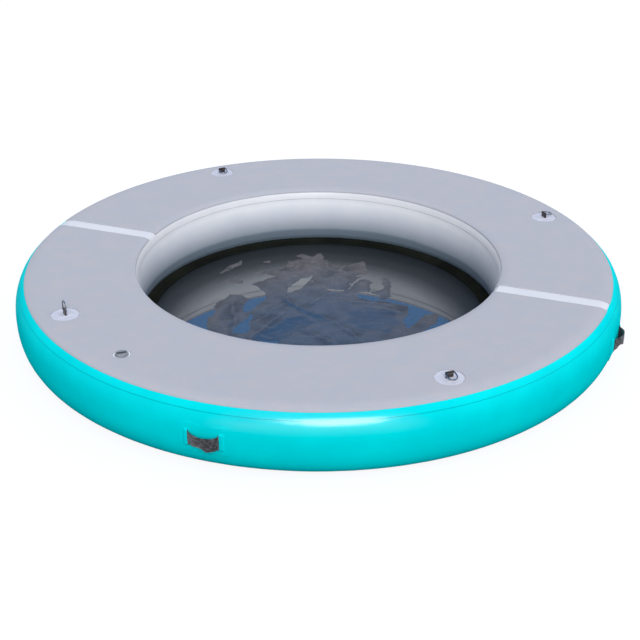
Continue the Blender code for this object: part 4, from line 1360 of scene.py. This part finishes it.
# %% [markdown]
# The mesh floor is coated cloth lying in a shallow film of water. It is slack, so it rises out
# of the film in crumpled islands and lies under it elsewhere, and the film mirrors the wall
# and the sky. One grid is mapped to a disc, and each of its points takes the height of the
# cloth or of the film, whichever is higher. The islands' outlines are drawn and then
# frayed with noise, so that no edge of water looks drawn.

# %% Floor outlines
ISLAND = [(-0.161, 0.457), (-0.126, 0.401), (-0.070, 0.376), (-0.024, 0.380), (0.011, 0.455),
          (0.064, 0.348), (0.055, 0.308), (0.045, 0.271), (0.044, 0.194), (0.089, 0.179),
          (0.095, 0.146), (0.146, 0.140), (0.194, 0.152), (0.275, 0.144), (0.305, 0.082),
          (0.294, 0.022), (0.331, -0.020), (0.355, 0.100), (0.402, 0.113), (0.408, 0.045),
          (0.365, -0.079), (0.247, -0.174), (0.106, -0.242), (-0.016, -0.269), (-0.139, -0.296),
          (-0.214, -0.280), (-0.299, -0.266), (-0.333, -0.209), (-0.334, -0.131),
          (-0.364, -0.084), (-0.345, 0.016), (-0.292, 0.021), (-0.256, 0.001), (-0.262, -0.027),
          (-0.247, -0.095), (-0.222, -0.081), (-0.214, 0.030), (-0.224, 0.066), (-0.274, 0.109),
          (-0.310, 0.107), (-0.249, 0.207), (-0.333, 0.205), (-0.241, 0.279), (-0.244, 0.336),
          (-0.222, 0.378), (-0.182, 0.399)]
SPIT = [(0.050, 0.269), (0.081, 0.297), (0.113, 0.283), (0.135, 0.342), (0.174, 0.303),
        (0.205, 0.201), (0.194, 0.154), (0.101, 0.144), (0.044, 0.194)]
SMALL = [[(-0.447, 0.152), (-0.440, 0.232), (-0.406, 0.300), (-0.402, 0.256), (-0.427, 0.170)],
         [(-0.337, 0.307), (-0.314, 0.333), (-0.309, 0.308), (-0.327, 0.292)],
         [(-0.238, 0.402), (-0.220, 0.424), (-0.172, 0.411), (-0.196, 0.385)],
         [(-0.415, 0.111), (-0.362, 0.141), (-0.322, 0.113), (-0.372, 0.099)]]
PUDDLES = [[(-0.158, 0.079), (-0.162, 0.122), (-0.152, 0.190), (-0.123, 0.263), (-0.115, 0.222),
            (-0.122, 0.157), (-0.136, 0.095)],
           [(-0.034, 0.184), (-0.002, 0.176), (0.029, 0.184), (0.006, 0.144)],
           [(0.082, 0.180), (0.107, 0.195), (0.168, 0.182), (0.170, 0.156), (0.107, 0.148)],
           [(0.105, 0.237), (0.112, 0.287), (0.137, 0.321), (0.152, 0.243), (0.143, 0.203)],
           [(-0.222, -0.184), (-0.204, -0.102), (-0.172, -0.238), (-0.225, -0.257)]]
FOLDS = [[(-0.149, 0.048), (-0.065, -0.009), (0.011, -0.048), (0.086, -0.067), (0.143, -0.110),
          (0.211, -0.164), (0.237, -0.190)],
         [(-0.149, -0.295), (-0.127, -0.162), (-0.102, -0.051)],
         [(-0.111, -0.202), (-0.076, -0.116), (-0.046, -0.059)],
         [(-0.167, -0.149), (-0.151, -0.059), (-0.129, -0.003)],
         [(-0.044, 0.028), (-0.014, 0.117), (0.002, 0.147)],
         [(0.075, 0.090), (0.153, 0.118), (0.267, 0.111)],
         [(0.140, -0.001), (0.175, 0.049), (0.270, 0.074)],
         [(-0.006, -0.164), (0.047, -0.171), (0.111, -0.209)],
         [(-0.100, 0.382), (-0.070, 0.404), (-0.036, 0.372), (-0.031, 0.319), (-0.072, 0.315),
          (-0.098, 0.349), (-0.100, 0.382)],
         [(-0.250, 0.327), (-0.216, 0.362), (-0.189, 0.316), (-0.207, 0.266), (-0.239, 0.276)],
         [(-0.300, -0.060), (-0.240, -0.170), (-0.210, -0.260)]]
POOLED = [([(-0.138, -0.299), (-0.117, -0.186), (-0.079, -0.108), (-0.043, -0.067),
            (0.026, -0.089), (-0.011, -0.174), (-0.050, -0.268)], 1.0),
          ([(-0.136, 0.037), (-0.073, -0.012), (-0.003, -0.034), (0.075, -0.071), (0.038, -0.085),
            (-0.055, -0.044), (-0.114, -0.008)], 1.0),
          ([(0.098, 0.021), (0.159, 0.072), (0.244, 0.074), (0.293, -0.001), (0.282, -0.077),
            (0.203, -0.088), (0.134, -0.059)], 0.6)]


def to_line(places, a, b):
    a, b = np.array(a), np.array(b)
    edge, off = b - a, places - a
    share = np.clip(off @ edge / (edge @ edge), 0, 1)
    return np.linalg.norm(off - share[:, None] * edge, axis=1)


def inside_by(places, outline):
    """How far each place is inside a closed outline; negative outside it."""
    nearest = np.full(len(places), np.inf)
    inside = np.zeros(len(places), bool)
    for a, b in zip(outline, outline[1:] + outline[:1]):
        nearest = np.minimum(nearest, to_line(places, a, b))
        if a[1] == b[1]:
            continue
        crosses = (a[1] > places[:, 1]) != (b[1] > places[:, 1])
        at = a[0] + (places[:, 1] - a[1]) * (b[0] - a[0]) / (b[1] - a[1])
        inside ^= crosses & (places[:, 0] < at)
    return np.where(inside, nearest, -nearest)


def noise_at(places, size, layer):
    return np.array([noise.noise(Vector((x / size, y / size, layer))) for x, y in places])


print("outlines", 2 + len(SMALL) + len(PUDDLES) + len(POOLED), "and fold lines", len(FOLDS))

# %% [markdown]
# One grid is mapped to the disc of the floor. How far a place lies inside the islands'
# outlines, after fraying, is its depth, and a place in the water has a depth below zero.

# %% Islands and water
FLOOR_RADIUS = (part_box("mesh_floor")[1].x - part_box("mesh_floor")[0].x) / 2
FLOOR_GRID = 208
FRAYS = ((0.011, 0.045, 1), (0.005, 0.014, 3))   # reach, size and first layer of noise


def disc_place(u, v):
    """Elliptical map of a square to a disc."""
    x, y = 2 * u - 1, 2 * v - 1
    return (FLOOR_RADIUS * x * math.sqrt(1 - y * y / 2),
            FLOOR_RADIUS * y * math.sqrt(1 - x * x / 2), 0)


cloth = laid_grid("wet_mesh_floor", FLOOR_GRID, FLOOR_GRID, disc_place)
places = np.array([vertex.co[:2] for vertex in cloth.data.vertices])
frayed = places.copy()
for reach, size, layer in FRAYS:
    frayed += reach * np.stack([noise_at(places, size, layer + i) for i in (0, 1)], axis=1)
depth = inside_by(frayed, ISLAND)
for outline in [SPIT, *SMALL]:
    depth = np.maximum(depth, inside_by(frayed, outline))
for outline in PUDDLES:
    depth = np.minimum(depth, -inside_by(frayed, outline))
print("islands cover", round(float((depth > 0).mean()), 2), "of the floor")

# %% [markdown]
# The cloth rises from the shores of its islands, with broad folds, small creases and the drawn
# fold lines on top, and sinks a little where water stands on it. Folding in code is exact
# here, because the film has to stay level; a cloth simulation would give folds of its own, in
# other places than the photograph's. What the finish needs to know is kept with the points of
# the mesh: how high each one is above the film, the painted highlight and painted shade that
# the folds give it, and how much water stands on it. Lengths are in metres, and tones are shares.

# %% Crumpled cloth
FILM = 4.0 * MM               # height of the water film
CLOTH = 1.2 * MM
ROOM = 13.6 * MM              # between the film and the highest that the floor may rise
ISLAND_RISE, SHORE = 5.5 * MM, 0.040    # height well inside an island, and how soon it comes
DIVE = 0.16                   # slope of the cloth under the film
SHORE_LINE = 0.015            # width of the strip where folds and pools fade out
WIDE_SIZE, SMALL_SIZE = 0.080, 0.028    # of the broad folds and of the creases
SHARPNESS = 2.2               # of their crests
NEAR_SIDE, FAR_RAMP = 0.05, 0.20        # the creases grow over this ramp to the far side
FOLD_RISE, FOLD_REACH = 4.0 * MM, 0.011
# painted highlight along the fold lines, painted shade on their flanks
CREST_HIGHLIGHT, CREST_REACH = 0.62, 0.0055
FLANK_SHADE, FLANK_REACH = 0.40, 0.018
POOL_SINK, POOL_SHORE = 2.5 * MM, 0.012

wide = np.clip(1 - SHARPNESS * np.abs(noise_at(frayed, WIDE_SIZE, 5)), 0, 1)
small = np.clip(1 - SHARPNESS * np.abs(noise_at(frayed, SMALL_SIZE, 6)), 0, 1)
crumpled = 0.25 + 0.75 * np.clip((places[:, 1] - NEAR_SIDE) / FAR_RAMP, 0, 1)
heights = np.where(depth > 0, ISLAND_RISE * (1 - np.exp(-depth / SHORE)), DIVE * depth)
on_cloth = np.clip(depth / SHORE_LINE, 0, 1)
heights = heights + on_cloth * MM * (2.6 * (wide - 0.4) + 1.8 * crumpled * (small - 0.4))
# painted highlight on the crests of the broad folds and creases, painted shade in the hollows
tone = 0.16 * wide ** 6 + 0.34 * crumpled * small ** 4 - 0.3 * (1 - wide) ** 2
for fold in FOLDS:
    away = np.min([to_line(frayed, a, b) for a, b in zip(fold, fold[1:])], axis=0)
    heights = heights + on_cloth * FOLD_RISE * np.exp(-away / FOLD_REACH)
    tone = tone + CREST_HIGHLIGHT * np.exp(-(away / CREST_REACH) ** 2)
    tone = tone - FLANK_SHADE * np.exp(-(away / FLANK_REACH) ** 2)
pooled = np.zeros(len(places))
for outline, share in POOLED:
    under = np.clip(0.5 + inside_by(frayed, outline) / POOL_SHORE, 0, 1)
    pooled = np.maximum(pooled, share * under)
heights = heights - on_cloth * POOL_SINK * pooled
top = FILM + ROOM * np.tanh(np.maximum(heights, 0) / ROOM)
for vertex, z in zip(cloth.data.vertices, top):
    vertex.co.z = z
for attribute, values in (("above_film", heights), ("fold_highlight_and_shade", tone), ("pooled", pooled)):
    layer = cloth.data.attributes.new(attribute, "FLOAT", "POINT")
    layer.data.foreach_set("value", values.astype(np.float32))
print("highest crest", round(float(top.max()), 4))
apply_modifier(cloth, "SOLIDIFY", thickness=CLOTH, offset=-1, use_even_offset=False)

# %% [markdown]
# Wet cloth and the film over it are one surface with two finishes. The cloth is a grey-brown
# mesh of PVC-coated polyester. Its colour carries a painted highlight on its crests and painted
# shade in its hollows, and where water stands on it, it is darker, with a painted blue reflection
# of the sky. Under the film it is nearly black. The floor sags to a low point a little to the
# front, round which the cloth carries a painted blue reflection of the sky, and it is browner
# with silt away from there.

# %% Colours of the wet cloth
LOW_POINT = (0.03, -0.10)
SILT = 60 * MM                # size of the cloudy patches of silt
wet_cloth, tree, shader = new_material("wet_coated_mesh", Roughness=0.5, IOR=1.5,
                                       Specular_IOR_Level=0.25, Coat_Roughness=0.03, Coat_IOR=2.6)
place = add_node(tree, "TexCoord").outputs["Object"]
above = add_node(tree, "Attribute", attribute_name="above_film").outputs["Fac"]
film = add_node(tree, "MapRange", links={"Value": above},
                values={"From Min": 0.10 * MM, "From Max": 0.30 * MM, "To Min": 1, "To Max": 0})
low_point = add_node(tree, "VectorMath", operation="MULTIPLY_ADD",
                     values={1: (1, 1, 0), 2: (-LOW_POINT[0], -LOW_POINT[1], 0)}, links={0: place})
distance = add_node(tree, "VectorMath", operation="LENGTH", links={0: low_point})
cloud = add_node(tree, "TexNoise", links={"Vector": place},
                 values={"Scale": 1 / SILT, "Detail": 6, "Roughness": 0.65})
sky_tint_fade = add_node(tree, "Math", operation="MULTIPLY_ADD", values={1: 0.30},
                  links={0: cloud, 2: distance})
silt_and_sky_tint = add_node(tree, "MapRange", links={"Value": sky_tint_fade},
                values={"From Min": 0.30, "From Max": 0.62})
# bluish round the low point: a painted reflection of the sky; browner with silt away from it
silt_and_sky_tint_colour = add_node(tree, "Mix", data_type="RGBA", links={0: silt_and_sky_tint}, values={6: "#4A525F", 7: "#5E5A59"})
# paler on crests and darker in hollows: painted highlight and painted shade
fold_highlight_and_shade = add_node(tree, "Attribute", attribute_name="fold_highlight_and_shade").outputs["Fac"]
lit = add_node(tree, "MapRange", links={"Value": fold_highlight_and_shade},
               values={"From Min": 0.1, "From Max": 0.9, "To Max": 0.60})
crest = add_node(tree, "Mix", data_type="RGBA", values={7: "#949195"}, links={0: lit, 6: silt_and_sky_tint_colour})
dim = add_node(tree, "MapRange", links={"Value": fold_highlight_and_shade},
               values={"From Min": 0.0, "From Max": -0.5, "To Max": 0.6})
painted_hollow_shade = add_node(tree, "Mix", data_type="RGBA", values={7: "#24262B"}, links={0: dim, 6: crest})
pooled = add_node(tree, "Attribute", attribute_name="pooled").outputs["Fac"]
# darker where water stands, and bluer: a painted reflection of the sky
soaked_and_sky_tint = add_node(tree, "Mix", data_type="RGBA", values={7: "#2A3A4D"},
                  links={0: pooled, 6: painted_hollow_shade})
colour = add_node(tree, "Mix", data_type="RGBA", values={7: "#070B09"}, links={0: film, 6: soaked_and_sky_tint})
feed(shader, Base_Color=colour)
print("colours of", wet_cloth.name, "done")

# %% [markdown]
# The film is a clear coat that mirrors where the mesh lies under it. Its index is higher than
# water's, which stands in for the bright sky that the real film mirrors. It is deep and still
# at the low point. Towards the ring it drains through the mesh, and mirrors less. The cloth on
# the islands has only a little patchy gloss, and more where water stands on it.

# %% Gloss of the film and the cloth
DROPS = 22 * MM               # size of the patches of gloss
wetness = add_node(tree, "TexNoise", links={"Vector": place},
                   values={"Scale": 1 / DROPS, "Detail": 5, "Roughness": 0.7})
uneven = add_node(tree, "MapRange", links={"Value": wetness},
                  values={"From Min": 0.35, "From Max": 0.65, "To Min": 0.7, "To Max": 1.3})
damp = add_node(tree, "MapRange", links={"Value": distance},
                values={"From Min": 0.20, "From Max": 0.46, "To Min": 0.15, "To Max": 0.07})
damped = add_node(tree, "Math", operation="MULTIPLY", links={0: damp, 1: uneven})
wetted = add_node(tree, "Math", operation="MULTIPLY_ADD", values={1: 0.20},
                  links={0: pooled, 2: damped})
patchy = add_node(tree, "MapRange", links={"Value": film, "To Min": wetted},
                  values={"To Max": 0.0})
still = add_node(tree, "MapRange", links={"Value": distance},
                 values={"From Min": 0.42, "From Max": 0.53, "To Min": 1.0, "To Max": 0.30})
level_place = add_node(tree, "VectorMath", operation="MULTIPLY",
                       values={1: (1, 1, 0)}, links={0: place})
rim_distance = add_node(tree, "VectorMath", operation="LENGTH", links={0: level_place})
drained = add_node(tree, "MapRange", links={"Value": rim_distance},
                   values={"From Min": 0.55, "From Max": 0.60, "To Min": 1.0, "To Max": 0.3})
depth_share = add_node(tree, "Math", operation="MULTIPLY", links={0: still, 1: drained})
mirror = add_node(tree, "Math", operation="MULTIPLY", links={0: film, 1: depth_share})
coat = add_node(tree, "Math", operation="MAXIMUM", links={0: mirror, 1: patchy})
feed(shader, Coat_Weight=coat)
print("gloss of", wet_cloth.name, "done")

# %% [markdown]
# The cloth is rumpled all over and the film is smooth. The real floor hangs a little lower at
# the front than this one, so the film's normal leans by a degree and a half, which puts the
# edge between mirrored wall and mirrored sky where the photograph has it. The mesh has pores
# of half a millimetre, which wouldn't show, so they are drawn 2.5 mm apart.

# %% Relief of the cloth
PORE = 2.5 * MM
RUMPLE = 14 * MM
RIDGE = 75 * MM
RELIEF = 1.3 * MM
FILM_LEAN = (-0.0090, 0.0246, 0)   # a degree and a half, for the sag below the ring
pores = add_node(tree, "TexVoronoi", links={"Vector": place},
                 values={"Scale": 1 / PORE, "Randomness": 0.15})
rumple = add_node(tree, "TexNoise", links={"Vector": place},
                  values={"Scale": 1 / RUMPLE, "Detail": 6, "Roughness": 0.65})
ridges = add_node(tree, "TexNoise", noise_type="RIDGED_MULTIFRACTAL", links={"Vector": place},
                  values={"Scale": 1 / RIDGE, "Detail": 4, "Roughness": 0.45,
                          "Lacunarity": 2.1, "Offset": 1.0, "Gain": 2.0, "Distortion": 0.4})
fine = add_node(tree, "Math", operation="MULTIPLY_ADD", values={1: 0.08},
                links={0: pores.outputs["Distance"], 2: rumple})
relief = add_node(tree, "Math", operation="MULTIPLY_ADD", values={1: 1.6},
                  links={0: ridges, 2: fine})
dry_relief = add_node(tree, "Math", operation="SUBTRACT", values={0: 1}, links={1: film})
facing = add_node(tree, "NewGeometry").outputs["Normal"]
upwards = add_node(tree, "SeparateXYZ", links={0: facing}).outputs["Z"]
upper = add_node(tree, "Math", operation="GREATER_THAN", values={1: 0}, links={0: upwards})
flat = add_node(tree, "Math", operation="MULTIPLY", links={0: upper, 1: film})
smooth = add_node(tree, "Mix", data_type="VECTOR", values={5: (0, 0, 1)},
                  links={0: flat, 4: facing})
leaning = add_node(tree, "VectorMath", operation="ADD", values={1: FILM_LEAN}, links={0: smooth})
level = add_node(tree, "VectorMath", operation="NORMALIZE", links={0: leaning})
bump = add_node(tree, "Bump", values={"Distance": RELIEF},
                links={"Height": relief, "Strength": dry_relief, "Normal": level})
feed(shader, Normal=bump, Coat_Normal=bump)
hand_over(cloth, wet_cloth, "dark_mesh", replaces=["mesh_floor"], angle=math.radians(60))
print(cloth.name, len(cloth.data.polygons), "faces")

# %% [markdown]
# A band of dark coated cloth joins the floor to the ring. It is glued to the lower tape, bends
# at the foot of the wall and runs in over the edge of the mesh. In the photograph it is the
# dark line round the water, so it is very dark and has no gloss. One slice is turned round
# the axis, and it takes the same puckers as the wall that it is glued to.

# %% Skirt
SKIRT = 1.0 * MM
SKIRT_TOP = 12.5 * MM         # height where the dark band starts on the seam tape
SKIRT_FLANGE = 5 * MM         # height of the part on the mesh
SKIRT_RUNS = (1, 10, 30)      # mm from the wall, for the points of that part
SKIRT_SLACK = 1.5 * MM
SKIRT_LIFT = LOW_TAPE + 0.25 * MM + SKIRT / 2   # it is glued close over the seam tape
band_top = angle_at_height(SKIRT_TOP)
wall_part = []
for share in (0, 0.4):        # of the way down to the tape's lower edge
    angle = (1 - share) * band_top - share * TAPE_START["inner"]
    point, normal = slice_point("inner", angle)
    wall_part.append(point + normal * SKIRT_LIFT)
bend = Vector((HOLE_RADIUS, SKIRT_FLANGE))
slack = (wall_part[-1] + bend) / 2 - Vector((SKIRT_SLACK, 0))
flange = [bend - Vector((run * MM, 0)) for run in SKIRT_RUNS]
line = smooth_line([*wall_part, slack, *flange], 5)
sides = [[], []]
for before, point, after in zip([line[0], *line], line, [*line[1:], line[-1]]):
    along_it = (after - before).normalized()
    square = Vector((-along_it.y, along_it.x)) * SKIRT / 2
    sides[0].append(point + square)
    sides[1].append(point - square)
skirt_cloth = coated_fabric("dark_skirt_fabric", "#22251F", "#171916", 0.9, level=0.0)
skirt = puckered(turned("skirt_band", sides[0] + sides[1][::-1], 2 * ROUND), "inner")
hand_over(skirt, skirt_cloth, "dark_mesh", replaces=["mesh_skirt"])
print(skirt.name, "from height", round(wall_part[0].y, 4))
